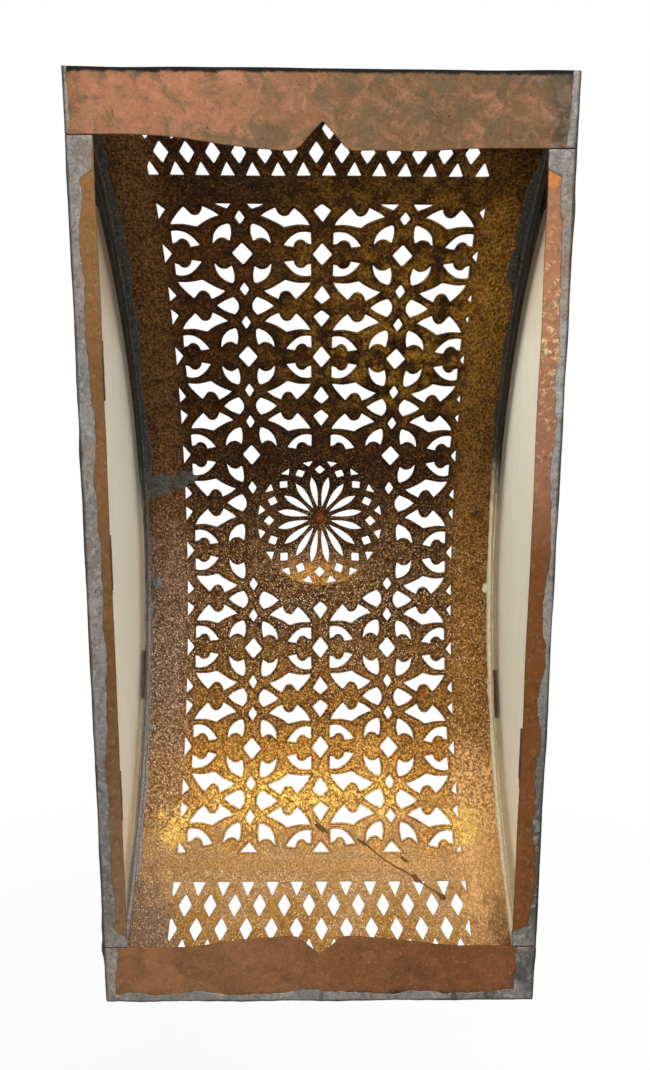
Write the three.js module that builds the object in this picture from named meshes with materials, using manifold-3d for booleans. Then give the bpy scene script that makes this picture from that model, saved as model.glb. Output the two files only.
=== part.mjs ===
import * as THREE from 'three';
import { mergeVertices } from 'three/addons/utils/BufferGeometryUtils.js';
import Module from 'manifold-3d';

// Wall sconce of pierced brass, empty inside and open at the back.
// A pierced sheet bows from top to bottom between two flat sides with milk glass panes.
// A flat frame of four copper strips lies against the wall and carries all of it.
// Millimetres. +Z is up, the room is at -Y, the wall is the plane y = 0,
// and the origin is the centre of the frame on the wall. Right is +X, seen from the room.

const wasm = await Module();
wasm.setup();

// Frame on the wall
const frameWidth = 228;
const frameHeight = 462;
const stripThickness = 1.2;
const sideStripWidth = 12;
const topStripRight = 28;
const topStripLeft = 32.5;
const topLobe = 33.5;
const topCusp = 21.5;
const bottomStrip = 31.5;
const bottomLobe = 37;
const bottomCusp = 26.5;
const lobeSwell = 2;
const straightReach = 70;
const lobeReach = 22;
const lobeTurn = 9;
const jointGap = 0.5;

// Bowed front sheet
const sheetThickness = 1.2;
const archDepth = 116.4;
const archEndInset = 12;
const panelSideInset = 5.3;
const clearance = 0.3;

// Fret field; the stars and knobs are shares of a quarter cell
const fieldSideMargin = 25;
const fieldTopMargin = 54.2;
const fieldBottomMargin = 67.6;
const fieldColumns = 2;
const fieldRows = 6.5;
const fieldSideLap = 1.2;
const fieldTopLap = 2.5;
const cutReach = 4;
const fieldReach = 3;
const kiteStarAcross = 0.13;
const diamondStarAcross = 0.14;
const starRise = 0.215;
const knobAcross = 0.08;
const knobRise = 0.115;

// Diamond bands above and below the field
const bandGapTop = 12.6;
const bandGapBottom = 16.2;
const topBandCount = 13;
const topBandPitch = 12.24;
const topBandShift = 2.6;
const bottomBandCount = 12;
const bottomBandPitch = 13.95;
const bandSideMargin = 25;
const diamondWidth = 7.4;
const diamondHeight = 12.6;
const diamondRowStep = 12.6;
const triangleHeight = 8;

// Rosette
const rosetteRise = 9;
const rosetteRadius = 39.5;
const rosetteRim = 4;
const rosetteDome = 14;
const rosetteSheet = 1;
const rosettePetals = 16;
const petalStart = 7;
const petalEnd = 26.5;
const petalWidth = 4.4;
const squareRing = 31.8;
const squareDiagonal = 6.6;
const triangleRing = 36.6;
const triangleWidth = 6.6;
const triangleDepth = 4.2;
const webAroundRosette = 3;
const rivetRadius = 1.6;
const rivetHeadRadius = 3.2;
const rivetHeadHeight = 1.3;

// Sides
const sideThickness = 1.2;
const sideRimWidth = 28;
const sideFootHeight = 10;
const glassThickness = 2;
const glassInset = 23;
const glassReach = 176;
const seamLeg = 3;

// Tabs that hold the glass
const tabThickness = 0.8;
const tabLength = 28;
const tabHeight = 11;
const tabFoot = 2;
const edgeTabFoot = 4;
const edgeTabLip = 5;
const rightBackTabs = [100, 6, -119];
const leftBackTabs = [-96];
const rightEdgeTab = -84;
const leftEdgeTab = -96;

// Facets
const archSteps = 14;
const rosetteSegments = 32;
const rosetteSteps = 4;
const curveSteps = 5;
const knobSteps = 3;

// Worked out from the sizes above
const archHalfChord = frameHeight / 2 - archEndInset;
const archRadius = (archHalfChord ** 2 + archDepth ** 2) / (2 * archDepth);
const archCentre = archRadius - archDepth;
const archHalfLength = archRadius * Math.asin(archHalfChord / archRadius);
const panelHalfWidth = frameWidth / 2 - panelSideInset;
const sideInner = panelHalfWidth - sideThickness;
const glassInner = sideInner - clearance - glassThickness;
const flangeInner = frameWidth / 2 - sideStripWidth;
const fieldTop = archHalfLength - fieldTopMargin;
const fieldBottom = fieldBottomMargin - archHalfLength;
const pitchUp = (fieldTop - fieldBottom) / fieldRows;
const fieldHalfWidth = panelHalfWidth - fieldSideMargin;
const halfPitch = fieldHalfWidth / fieldColumns;
const quarterRise = pitchUp / 2;

// Meshes and solids

function solidFrom(geometry) {
  const bare = new THREE.BufferGeometry();
  bare.setAttribute('position', geometry.getAttribute('position').clone());
  if (geometry.index) bare.setIndex(geometry.index.clone());
  const merged = mergeVertices(bare, 1e-4);
  return new wasm.Manifold(new wasm.Mesh({
    numProp: 3,
    vertProperties: new Float32Array(merged.getAttribute('position').array),
    triVerts: new Uint32Array(merged.index.array),
  }));
}

function geometryFrom(solid) {
  const mesh = solid.getMesh();
  const geometry = new THREE.BufferGeometry();
  geometry.setAttribute('position', new THREE.BufferAttribute(new Float32Array(mesh.vertProperties), 3));
  geometry.setIndex(new THREE.BufferAttribute(new Uint32Array(mesh.triVerts), 1));
  geometry.computeVertexNormals();
  return geometry;
}

// Moves every vertex by a rule; a rule that mirrors also turns the triangles round.
function moved(geometry, rule, mirrors = false) {
  const bare = new THREE.BufferGeometry();
  bare.setAttribute('position', geometry.getAttribute('position').clone());
  if (geometry.index) bare.setIndex(geometry.index.clone());
  const result = mergeVertices(bare, 1e-4);
  const position = result.getAttribute('position');
  for (let i = 0; i < position.count; i += 1) {
    const [x, y, z] = rule(position.getX(i), position.getY(i), position.getZ(i));
    position.setXYZ(i, x, y, z);
  }
  if (mirrors) {
    const index = result.index;
    for (let i = 0; i < index.count; i += 3) {
      const swap = index.getX(i + 1);
      index.setX(i + 1, index.getX(i + 2));
      index.setX(i + 2, swap);
    }
  }
  result.computeVertexNormals();
  return result;
}

// Across the panel, along its arc from the middle, and out from its inner face.
function bend(across, along, out) {
  const angle = along / archRadius;
  const radius = archRadius + out;
  return [across, archCentre - radius * Math.cos(angle), radius * Math.sin(angle)];
}

// A drawing in the wall plane, with its depth towards the room.
function onWall(across, up, out) {
  return [across, -out, up];
}

function extruded(shape, low, high) {
  const options = { depth: high - low, bevelEnabled: false, steps: 1, curveSegments: curveSteps };
  return new THREE.ExtrudeGeometry(shape, options).translate(0, 0, low);
}

// Cuts straight through the bowed sheet, square to it in the middle of the opening.
function bentCutter(shape, segments = curveSteps) {
  const options = { depth: 2 * cutReach + sheetThickness, bevelEnabled: false, curveSegments: segments };
  const flat = new THREE.ExtrudeGeometry(shape, options).translate(0, 0, -cutReach);
  flat.computeBoundingBox();
  const angle = (flat.boundingBox.min.y + flat.boundingBox.max.y) / 2 / archRadius;
  return solidFrom(moved(flat, (across, along, out) => {
    const [x, y, z] = bend(across, along, 0);
    return [x, y - out * Math.cos(angle), z + out * Math.sin(angle)];
  }));
}

function polygon(points) {
  return new THREE.Shape(points.map(([x, y]) => new THREE.Vector2(x, y)));
}

function arcPoints(centre, radii, from, to, steps) {
  const points = [];
  for (let i = 0; i <= steps; i += 1) {
    const angle = THREE.MathUtils.degToRad(from + (to - from) * i / steps);
    points.push([centre[0] + radii[0] * Math.cos(angle), centre[1] + radii[1] * Math.sin(angle)]);
  }
  return points;
}

// A strip of the bowed sheet, with a crease at every station along the arc.
function bentBand(halfWidth, stations, low, high) {
  const creases = stations.length - 1;
  const length = stations[creases] - stations[0];
  const box = new THREE.BoxGeometry(2 * halfWidth, length, high - low, 1, creases, 1);
  const rule = (x, y, z) => {
    const station = stations[Math.round((y / length + 0.5) * creases)];
    return bend(x, station, z + (low + high) / 2);
  };
  return solidFrom(moved(box, rule));
}

// Creases fall on the rows of the fret and halfway between them.
function creaseStations(bottom, top) {
  const step = pitchUp / 4;
  const stations = [bottom];
  for (let k = Math.ceil((bottom - fieldTop) / step); fieldTop + k * step < top; k += 1) {
    const station = fieldTop + k * step;
    if (station > bottom + step / 4 && station < top - step / 4) stations.push(station);
  }
  stations.push(top);
  return stations;
}

// Fret openings, drawn in a quarter cell.
// Across runs from 0 on a column of kites to 1 on a column of small diamonds,
// and rise runs from 0 on a row of stars to 1 halfway to the next row.

function wingOutline() {
  return [
    [0.15, 0.535], [0.46, 0.5], [0.75, 0.7], [0.57, 0.87],
    ...arcPoints([0.46, 0.815], [knobAcross, knobRise], 0, -180, knobSteps),
    [0.34, 0.86], [0.2, 0.66],
  ];
}

function crescentOutline() {
  return [
    [0.14, 0.19], ...arcPoints([0.265, 0.155], [knobAcross, knobRise], 155, 25, knobSteps),
    [0.36, 0.125], [0.48, 0.156], [0.38, 0.345], [0.29, 0.405], [0.14, 0.425],
  ];
}

function shieldOutline() {
  return [
    [0.64, 0.182], [0.735, 0.284], [0.856, 0.226], [0.878, 0.45], [0.845, 0.565],
    [0.755, 0.515], [0.66, 0.355],
  ];
}

function kiteOutline() {
  return [[0, 0.575], [0.12, 0.82], [0, 0.955], [-0.12, 0.82]];
}

function smallDiamondOutline() {
  return [[0, 0.54], [0.064, 0.675], [0, 0.815], [-0.064, 0.675]];
}

function starOutline(across, rise) {
  return [[across, 0], [0, rise], [-across, 0], [0, -rise]];
}

function fishOutline() {
  return [[-0.375, 0], [-0.15, -0.174], [-0.095, -0.06], [-0.095, 0.06], [-0.15, 0.174]];
}

// Puts a quarter cell's outline at a column and a row, to the left or right, above or below.
function inCell(outline, column, row, side, rise) {
  return polygon(outline.map(([across, up]) => [
    (column + side * across) * halfPitch,
    fieldTop - pitchUp / 2 - row * pitchUp + rise * up * quarterRise,
  ]));
}

function fretShapes() {
  const shapes = [];
  const kiteColumns = [-2, 0, 2];
  const diamondColumns = [-1, 1];
  for (let row = 0; row < fieldRows; row += 1) {
    const ways = row + 1 > fieldRows ? [1] : [1, -1];
    for (const column of kiteColumns) {
      shapes.push(inCell(starOutline(kiteStarAcross, starRise), column, row, 1, 1));
    }
    for (const column of diamondColumns) {
      shapes.push(inCell(starOutline(diamondStarAcross, starRise), column, row, 1, 1));
    }
    for (const way of ways) {
      for (const column of kiteColumns) shapes.push(inCell(kiteOutline(), column, row, 1, way));
      for (const column of diamondColumns) {
        shapes.push(inCell(smallDiamondOutline(), column, row, 1, way));
        for (const side of [-1, 1]) {
          shapes.push(inCell(wingOutline(), column - side, row, side, way));
          shapes.push(inCell(crescentOutline(), column - side, row, side, way));
          shapes.push(inCell(shieldOutline(), column - side, row, side, way));
        }
      }
    }
    for (const column of diamondColumns) {
      for (const side of [-1, 1]) shapes.push(inCell(fishOutline(), column, row - 0.5, side, 1));
    }
  }
  return shapes;
}

// A band of diamonds between two rows of triangles. Way is 1 above the field and -1 below it.
function bandShapes(start, way, count, pitch, shift, closed) {
  const half = diamondWidth / 2;
  const place = (points, x, y) => polygon(points.map(([px, py]) => [x + px, start + way * (y + py)]));
  const diamond = [[half, 0], [0, diamondHeight / 2], [-half, 0], [0, -diamondHeight / 2]];
  const triangle = [[-half, 0], [half, 0], [0, triangleHeight]];
  const lastTriangle = [[-half, 0], [half, 0], [0, -triangleHeight]];
  const shapes = [];
  for (let i = 0; i <= count; i += 1) {
    const x = shift + (i - count / 2) * pitch;
    shapes.push(place(triangle, x, 0));
    shapes.push(place(diamond, x, 2 * diamondRowStep));
    if (i < count) {
      shapes.push(place(diamond, x + pitch / 2, diamondRowStep));
      if (closed) shapes.push(place(lastTriangle, x + pitch / 2, 3 * diamondRowStep));
    }
  }
  return shapes;
}

function joined(solids) {
  return solids.reduce((sum, solid) => sum.add(solid));
}

function disc(radius, along) {
  const shape = new THREE.Shape();
  shape.absarc(0, along, radius, 0, 2 * Math.PI, false);
  return shape;
}

function discCutter(radius) {
  return bentCutter(disc(radius, rosetteRise), rosetteSegments / 2);
}

function frontPanel() {
  const reach = archHalfLength + sheetThickness;
  const sheet = bentBand(panelHalfWidth, creaseStations(-reach, reach), 0, sheetThickness);
  const fieldStations = creaseStations(fieldBottom, fieldTop - fieldTopLap);
  const field = bentBand(fieldHalfWidth - fieldSideLap, fieldStations, -fieldReach, cutReach);
  const bandHalfWidth = panelHalfWidth - bandSideMargin;
  const bandReach = bentBand(bandHalfWidth, creaseStations(-reach, reach), -fieldReach, cutReach);
  const fret = joined(fretShapes().map((shape) => bentCutter(shape))).intersect(field);
  const topStart = fieldTop + bandGapTop;
  const bottomStart = fieldBottom - bandGapBottom;
  const topBand = bandShapes(topStart, 1, topBandCount, topBandPitch, topBandShift, false);
  const bottomBand = bandShapes(bottomStart, -1, bottomBandCount, bottomBandPitch, 0, true);
  const bands = joined([...topBand, ...bottomBand].map((shape) => bentCutter(shape))).intersect(bandReach);
  const openFret = fret.subtract(discCutter(rosetteRadius + webAroundRosette));
  const pierced = sheet.subtract(openFret).subtract(bands).subtract(discCutter(rosetteRadius));
  const behind = new THREE.BoxGeometry(2 * frameWidth, archDepth, 2 * frameHeight);
  behind.translate(0, archDepth / 2 - stripThickness - clearance, 0);
  return geometryFrom(pierced.subtract(solidFrom(behind)));
}

// The rosette is drawn flat over the outer face of the sheet, pierced, and then bent with it.

function domeProfile() {
  const ball = (rosetteRadius ** 2 + rosetteDome ** 2) / (2 * rosetteDome);
  const sweep = Math.asin(rosetteRadius / ball);
  const points = [];
  for (let i = 0; i <= rosetteSteps; i += 1) {
    const angle = sweep * i / rosetteSteps;
    points.push([ball * Math.sin(angle), ball * Math.cos(angle) - ball + rosetteDome]);
  }
  return points;
}

function rosetteShell() {
  const inner = domeProfile();
  const outer = inner.map(([radius, height]) => [radius, height + rosetteSheet]);
  const rim = rosetteRadius + rosetteRim;
  const profile = [...inner, [rim, 0], [rim, rosetteSheet], ...outer.reverse()];
  const points = profile.map(([radius, height]) => new THREE.Vector2(radius, height));
  const lathe = new THREE.LatheGeometry(points, rosetteSegments);
  return solidFrom(moved(lathe, (x, y, z) => [x, -z, y]));
}

function petalShape(angle) {
  const turn = ([radius, offset]) => [
    radius * Math.cos(angle) - offset * Math.sin(angle),
    radius * Math.sin(angle) + offset * Math.cos(angle),
  ];
  const length = petalEnd - petalStart;
  const half = petalWidth / 2;
  const at = (share, width) => [petalStart + share * length, width * half];
  const outline = [at(0, 0), at(0.45, -0.9), at(0.8, -0.9), at(1, 0), at(0.8, 0.9), at(0.45, 0.9)];
  return polygon(outline.map(turn));
}

function ringShape(angle, outline, ring) {
  return polygon(outline.map(([radial, offset]) => [
    (ring + radial) * Math.cos(angle) - offset * Math.sin(angle),
    (ring + radial) * Math.sin(angle) + offset * Math.cos(angle),
  ]));
}

function rosetteCutter(shape) {
  return solidFrom(extruded(shape, -cutReach, rosetteDome + cutReach));
}

function toRosette(x, y, z) {
  return bend(x, y + rosetteRise, z + sheetThickness + clearance);
}

function rosetteBoss() {
  const half = squareDiagonal / 2;
  const square = [[half, 0], [0, half], [-half, 0], [0, -half]];
  const triangle = [[-triangleDepth / 2, 0], [triangleDepth / 2, -triangleWidth / 2],
    [triangleDepth / 2, triangleWidth / 2]];
  const cutters = [];
  for (let i = 0; i < rosettePetals; i += 1) {
    const angle = 2 * Math.PI * i / rosettePetals;
    const between = angle + Math.PI / rosettePetals;
    cutters.push(rosetteCutter(petalShape(between)));
    cutters.push(rosetteCutter(ringShape(angle, square, squareRing)));
    cutters.push(rosetteCutter(ringShape(between, triangle, triangleRing)));
  }
  cutters.push(rosetteCutter(disc(rivetRadius + clearance, 0)));
  return moved(geometryFrom(rosetteShell().subtract(joined(cutters))), toRosette);
}

function rosetteRivet() {
  const low = rosetteDome - clearance;
  const high = rosetteDome + rosetteSheet + clearance;
  const profile = [
    [0, low - rivetHeadHeight],
    [rivetHeadRadius * 0.7, low - rivetHeadHeight * 0.75],
    [rivetHeadRadius, low],
    [rivetRadius, low], [rivetRadius, high], [rivetHeadRadius, high],
    [rivetHeadRadius * 0.7, high + rivetHeadHeight * 0.75], [0, high + rivetHeadHeight],
  ];
  const points = profile.map(([radius, height]) => new THREE.Vector2(radius, height));
  const lathe = new THREE.LatheGeometry(points, 16);
  return moved(moved(lathe, (x, y, z) => [x, -z, y]), toRosette);
}

// Frame strips. The inner edge of the top and bottom strips is an ogee with a cusp in the middle.

function ogeeStrip(rightHeight, leftHeight, lobe, cusp, way) {
  const half = frameWidth / 2;
  const y = (height) => way * (frameHeight / 2 - height);
  const swell = (straightReach + lobeReach) / 2;
  const shape = new THREE.Shape();
  shape.moveTo(-half, y(0));
  shape.lineTo(half, y(0));
  shape.lineTo(half, y(rightHeight));
  shape.lineTo(straightReach, y(rightHeight));
  shape.quadraticCurveTo(swell, y(rightHeight), lobeReach, y(lobe));
  shape.quadraticCurveTo(lobeTurn, y(lobe + lobeSwell), lobeTurn / 2, y((lobe + cusp) / 2));
  shape.lineTo(0, y(cusp));
  shape.lineTo(-lobeTurn / 2, y((lobe + cusp) / 2));
  shape.quadraticCurveTo(-lobeTurn, y(lobe + lobeSwell), -lobeReach, y(lobe));
  shape.quadraticCurveTo(-swell, y(leftHeight), -straightReach, y(leftHeight));
  shape.lineTo(-half, y(leftHeight));
  return moved(extruded(shape, 0, stripThickness), onWall);
}

function sideStrip(side) {
  const top = frameHeight / 2 - (side > 0 ? topStripRight : topStripLeft) - jointGap;
  const bottom = bottomStrip + jointGap - frameHeight / 2;
  const near = side * frameWidth / 2;
  const far = side * flangeInner;
  const shape = polygon([[near, bottom], [near, top], [far, top], [far, bottom]]);
  return moved(extruded(shape, 0, stripThickness), onWall);
}

// Sides are drawn by depth from the wall and height. Side is 1 on the right and -1 on the left.

function onSide(geometry, side) {
  const rule = (depth, up, x) => [side * x, -depth, up];
  return moved(geometry, rule, side > 0);
}

function angleAtDepth(radius, depth) {
  return Math.acos((archCentre + depth) / radius);
}

function sideRim(side) {
  const outer = archRadius - clearance;
  const inner = archRadius - sideRimWidth;
  const outerAngle = angleAtDepth(outer, stripThickness);
  const innerAngle = angleAtDepth(inner, stripThickness);
  const shape = new THREE.Shape();
  shape.absarc(-archCentre, 0, outer, -outerAngle, outerAngle, false);
  shape.absarc(-archCentre, 0, inner, innerAngle, -innerAngle, true);
  const options = { depth: sideThickness, bevelEnabled: false, curveSegments: archSteps };
  return onSide(new THREE.ExtrudeGeometry(shape, options).translate(0, 0, sideInner), side);
}

function sideFoot(side) {
  const inner = archRadius - sideRimWidth - clearance;
  const low = stripThickness;
  const high = stripThickness + sideFootHeight;
  const lowReach = inner * Math.sin(angleAtDepth(inner, low));
  const highReach = inner * Math.sin(angleAtDepth(inner, high));
  const shape = polygon([[low, -lowReach], [high, -highReach], [high, highReach], [low, lowReach]]);
  return onSide(extruded(shape, sideInner, sideInner + sideThickness), side);
}

function glassPane(side) {
  const radius = archRadius - glassInset;
  const back = stripThickness + clearance;
  const angle = Math.asin(Math.min(glassReach / radius, Math.sin(angleAtDepth(radius, back))));
  const reach = radius * Math.sin(angle);
  const shape = new THREE.Shape();
  shape.moveTo(back, reach);
  shape.lineTo(back, -reach);
  shape.absarc(-archCentre, 0, radius, -angle, angle, false);
  const options = { depth: glassThickness, bevelEnabled: false, curveSegments: archSteps };
  return onSide(new THREE.ExtrudeGeometry(shape, options).translate(0, 0, glassInner), side);
}

// A fillet of solder in the corner between the front sheet and a side.
function seamSolder(side) {
  const corner = sideInner - clearance;
  const step = pitchUp / 4;
  const count = Math.floor((archHalfLength - step) / step);
  const ring = [[corner, -clearance], [corner - seamLeg, -clearance], [corner, -clearance - seamLeg]];
  const positions = [];
  const index = [];
  for (let k = -count; k <= count; k += 1) {
    for (const [across, out] of ring) positions.push(...bend(across, k * step, out));
  }
  for (let k = 0; k < 2 * count; k += 1) {
    for (let i = 0; i < 3; i += 1) {
      const a = 3 * k + i;
      const b = 3 * k + (i + 1) % 3;
      index.push(a, a + 3, b, b, a + 3, b + 3);
    }
  }
  const last = 6 * count;
  index.push(0, 1, 2, last, last + 2, last + 1);
  const geometry = new THREE.BufferGeometry();
  geometry.setAttribute('position', new THREE.Float32BufferAttribute(positions, 3));
  geometry.setIndex(index);
  return moved(geometry, (x, y, z) => [side * x, y, z], side < 0);
}

// A bent tab on a frame strip, with its leg against the inner face of the glass.
function backTab(side, height) {
  const leg = glassInner - clearance;
  const inner = leg - tabThickness;
  const foot = Math.max(flangeInner, inner - tabFoot);
  const low = stripThickness;
  const shape = polygon([
    [foot, low], [leg, low], [leg, low + tabHeight],
    [inner, low + tabHeight], [inner, low + tabThickness], [foot, low + tabThickness],
  ]);
  const flat = extruded(shape, height - tabLength / 2, height + tabLength / 2);
  return moved(flat, (x, depth, z) => [side * x, -depth, z], side > 0);
}

// A stepped tab at the curved edge of the glass: foot on the side, lip over the glass.
function edgeTab(side, height) {
  const edge = archRadius - glassInset + 2 * clearance;
  const face = sideInner - clearance;
  const lip = glassInner - clearance;
  const shape = polygon([
    [edge + edgeTabFoot, face], [edge, face], [edge, lip], [edge - edgeTabLip, lip],
    [edge - edgeTabLip, lip - tabThickness], [edge + tabThickness, lip - tabThickness],
    [edge + tabThickness, face - tabThickness], [edge + edgeTabFoot, face - tabThickness],
  ]);
  const flat = extruded(shape, -tabLength / 2, tabLength / 2);
  const angle = Math.asin(height / archRadius);
  const rule = (radius, x, tangent) => {
    const depth = radius * Math.cos(angle) - tangent * Math.sin(angle) - archCentre;
    const up = radius * Math.sin(angle) + tangent * Math.cos(angle);
    return [side * x, -depth, up];
  };
  return moved(flat, rule, side < 0);
}

// Finishes
const agedBrass = new THREE.MeshStandardMaterial({ color: 0x7a5526, roughness: 0.45, metalness: 0.9 });
const rosetteBrass = new THREE.MeshStandardMaterial({ color: 0x9a6b2c, roughness: 0.4, metalness: 0.9 });
const rustyCopper = new THREE.MeshStandardMaterial({ color: 0x9c4f1c, roughness: 0.6, metalness: 0.7 });
const copper = new THREE.MeshStandardMaterial({ color: 0xa8684a, roughness: 0.5, metalness: 0.85 });
const darkCopper = new THREE.MeshStandardMaterial({ color: 0x6e4029, roughness: 0.55, metalness: 0.8 });
const tinnedBrass = new THREE.MeshStandardMaterial({ color: 0x4c4c4b, roughness: 0.6, metalness: 0.7 });
const milkGlass = new THREE.MeshStandardMaterial({ color: 0xcfc6a8, roughness: 0.35, metalness: 0 });
const solder = new THREE.MeshStandardMaterial({ color: 0x77777a, roughness: 0.55, metalness: 0.8 });
const tabCopper = new THREE.MeshStandardMaterial({ color: 0x6a4a40, roughness: 0.6, metalness: 0.7 });

// Assembly
const sconce = new THREE.Group();

function addPiece(name, geometry, material) {
  const mesh = new THREE.Mesh(geometry, material);
  mesh.name = name;
  sconce.add(mesh);
}

addPiece('front_panel', frontPanel(), agedBrass);
addPiece('rosette_boss', rosetteBoss(), rosetteBrass);
addPiece('rosette_rivet', rosetteRivet(), rustyCopper);
addPiece('top_strip', ogeeStrip(topStripRight, topStripLeft, topLobe, topCusp, 1), copper);
addPiece('bottom_strip', ogeeStrip(bottomStrip, bottomStrip, bottomLobe, bottomCusp, -1), darkCopper);

for (const [name, side] of [['right', 1], ['left', -1]]) {
  addPiece(`${name}_strip`, sideStrip(side), copper);
  addPiece(`${name}_side_rim`, sideRim(side), tinnedBrass);
  addPiece(`${name}_side_foot`, sideFoot(side), tinnedBrass);
  addPiece(`${name}_glass_pane`, glassPane(side), milkGlass);
  addPiece(`${name}_seam_solder`, seamSolder(side), solder);
  const backTabs = side > 0 ? rightBackTabs : leftBackTabs;
  for (let i = 0; i < backTabs.length; i += 1) {
    addPiece(`${name}_back_tab_${i + 1}`, backTab(side, backTabs[i]), tabCopper);
  }
  const edgeHeight = side > 0 ? rightEdgeTab : leftEdgeTab;
  addPiece(`${name}_edge_tab`, edgeTab(side, edgeHeight), tabCopper);
}

export default sconce;
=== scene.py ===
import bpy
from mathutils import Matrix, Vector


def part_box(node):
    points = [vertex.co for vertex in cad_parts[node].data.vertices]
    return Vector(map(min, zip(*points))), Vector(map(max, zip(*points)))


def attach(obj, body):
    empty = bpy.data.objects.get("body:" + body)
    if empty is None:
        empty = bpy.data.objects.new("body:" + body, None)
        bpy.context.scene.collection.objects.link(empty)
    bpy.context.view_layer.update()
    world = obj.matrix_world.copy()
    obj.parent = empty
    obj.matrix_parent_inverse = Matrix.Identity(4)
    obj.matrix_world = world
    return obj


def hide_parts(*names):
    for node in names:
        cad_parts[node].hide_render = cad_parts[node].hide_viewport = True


bl_info = {
    "name": "Pierced Brass Wall Sconce",
    "version": (1, 0, 0),
    "blender": (4, 5, 0),
    "location": "View3D > Sidebar > Sconce",
    "description": "Builds a pierced brass wall sconce with milk glass sides, open at the back",
    "category": "Add Mesh",
}

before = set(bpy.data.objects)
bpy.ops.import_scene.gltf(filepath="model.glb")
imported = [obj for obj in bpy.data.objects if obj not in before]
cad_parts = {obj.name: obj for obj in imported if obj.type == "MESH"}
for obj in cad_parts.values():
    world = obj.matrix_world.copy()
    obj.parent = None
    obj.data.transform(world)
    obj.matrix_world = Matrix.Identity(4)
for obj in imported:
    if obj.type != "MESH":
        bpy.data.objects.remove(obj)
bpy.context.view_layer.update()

import math
from dataclasses import dataclass
from functools import cached_property

import bmesh
import bpy
from bpy.props import FloatProperty, FloatVectorProperty, PointerProperty
from mathutils import Matrix, Vector, noise

MM = 0.001


def linear(red, green, blue):
    """A colour written as on screen, 0 to 255, as Blender's linear colour."""
    parts = [value / 255 for value in (red, green, blue)]
    return [part / 12.92 if part <= 0.04045 else ((part + 0.055) / 1.055) ** 2.4 for part in parts]


def size(name, description, default):
    return FloatProperty(name=name, description=description, default=default * MM, unit="LENGTH", precision=4)


def tone(name, description, red, green, blue):
    return FloatVectorProperty(
        name=name, description=description, subtype="COLOR", size=3, min=0, max=1,
        default=linear(red, green, blue),
    )


class SconceSizes(bpy.types.PropertyGroup):
    """Sizes of the finished pieces"""
    sheet: size("Sheet", "Thickness of the front sheet and the sides", 1.2)
    arch_depth: size("Arch depth", "From the wall to the inner face of the front sheet", 116.4)
    arch_inset: size("Arch inset", "From the frame's ends to the front sheet's ends", 12)
    sheet_end: size("Sheet end", "How far the front sheet's ends stop short of the wall", 0.8)
    edge: size("Edge", "Softness of a cut edge", 0.15)
    step: size("Step", "Length of one facet of the bowed sheet", 5)
    dent: size("Dent", "Depth of the waves in the hand-beaten sheet", 0.5)
    field_side: size("Field side margin", "From the front sheet's side to the outer columns", 25)
    field_top: size("Field top margin", "Along the sheet, from its top to the fret", 54.2)
    field_bottom: size("Field bottom margin", "Along the sheet, from its bottom to the fret", 67.6)
    field_lap: size("Field lap", "How far short of the outer columns the openings stop", 1.2)
    field_top_lap: size("Field top lap", "How far short of the top row the openings stop", 2.5)
    corner: size("Corner", "Roundness of the openings' corners", 0.9)
    fine_corner: size("Fine corner", "Roundness of the rosette's openings and of the strips", 0.6)
    top_band_gap: size("Top band gap", "From the fret to the rows of diamonds above it", 12.6)
    top_band_pitch: size("Top band pitch", "From one diamond to the next above the fret", 12.24)
    bottom_band_gap: size("Bottom band gap", "From the fret to the rows of diamonds below it", 16.2)
    bottom_band_pitch: size("Bottom band pitch", "From one diamond to the next below the fret", 13.95)
    line_inset: size("Line inset", "From an opening to the chased line round it", 1.1)
    line_width: size("Line width", "Width of a chased line", 0.4)
    ring: size("Ring", "Diameter of a stamped ring", 6.4)
    ring_line: size("Ring line", "Width of a stamped ring's line", 0.9)
    ring_pitch: size("Ring pitch", "From one stamped ring to the next", 7.6)
    ring_row: size("Ring row", "Along the sheet, from the fret's bottom to the stamped rings", 7.4)
    rosette_rise: size("Rosette rise", "The rosette's height over the middle", 9)
    rosette: size("Rosette", "Radius of the round opening behind the rosette", 39.5)
    rosette_rim: size("Rosette rim", "Width of the rosette's rim on the front sheet", 4)
    rosette_dome: size("Rosette dome", "Height of the rosette's dome", 14)
    rosette_sheet: size("Rosette sheet", "Thickness of the rosette", 1)
    rosette_step: size("Rosette step", "Length of one facet of the rosette's dome", 3)
    side_rim: size("Side rim", "Width of the sides' curved strips", 28)
    glass_inset: size("Glass inset", "From the front sheet to the glass's curved edge", 23)
    glass_reach: size("Glass reach", "Half the height of the glass", 176)
    seam: size("Seam", "Thickness of the solder in the corners of the front sheet", 3.2)


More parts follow.
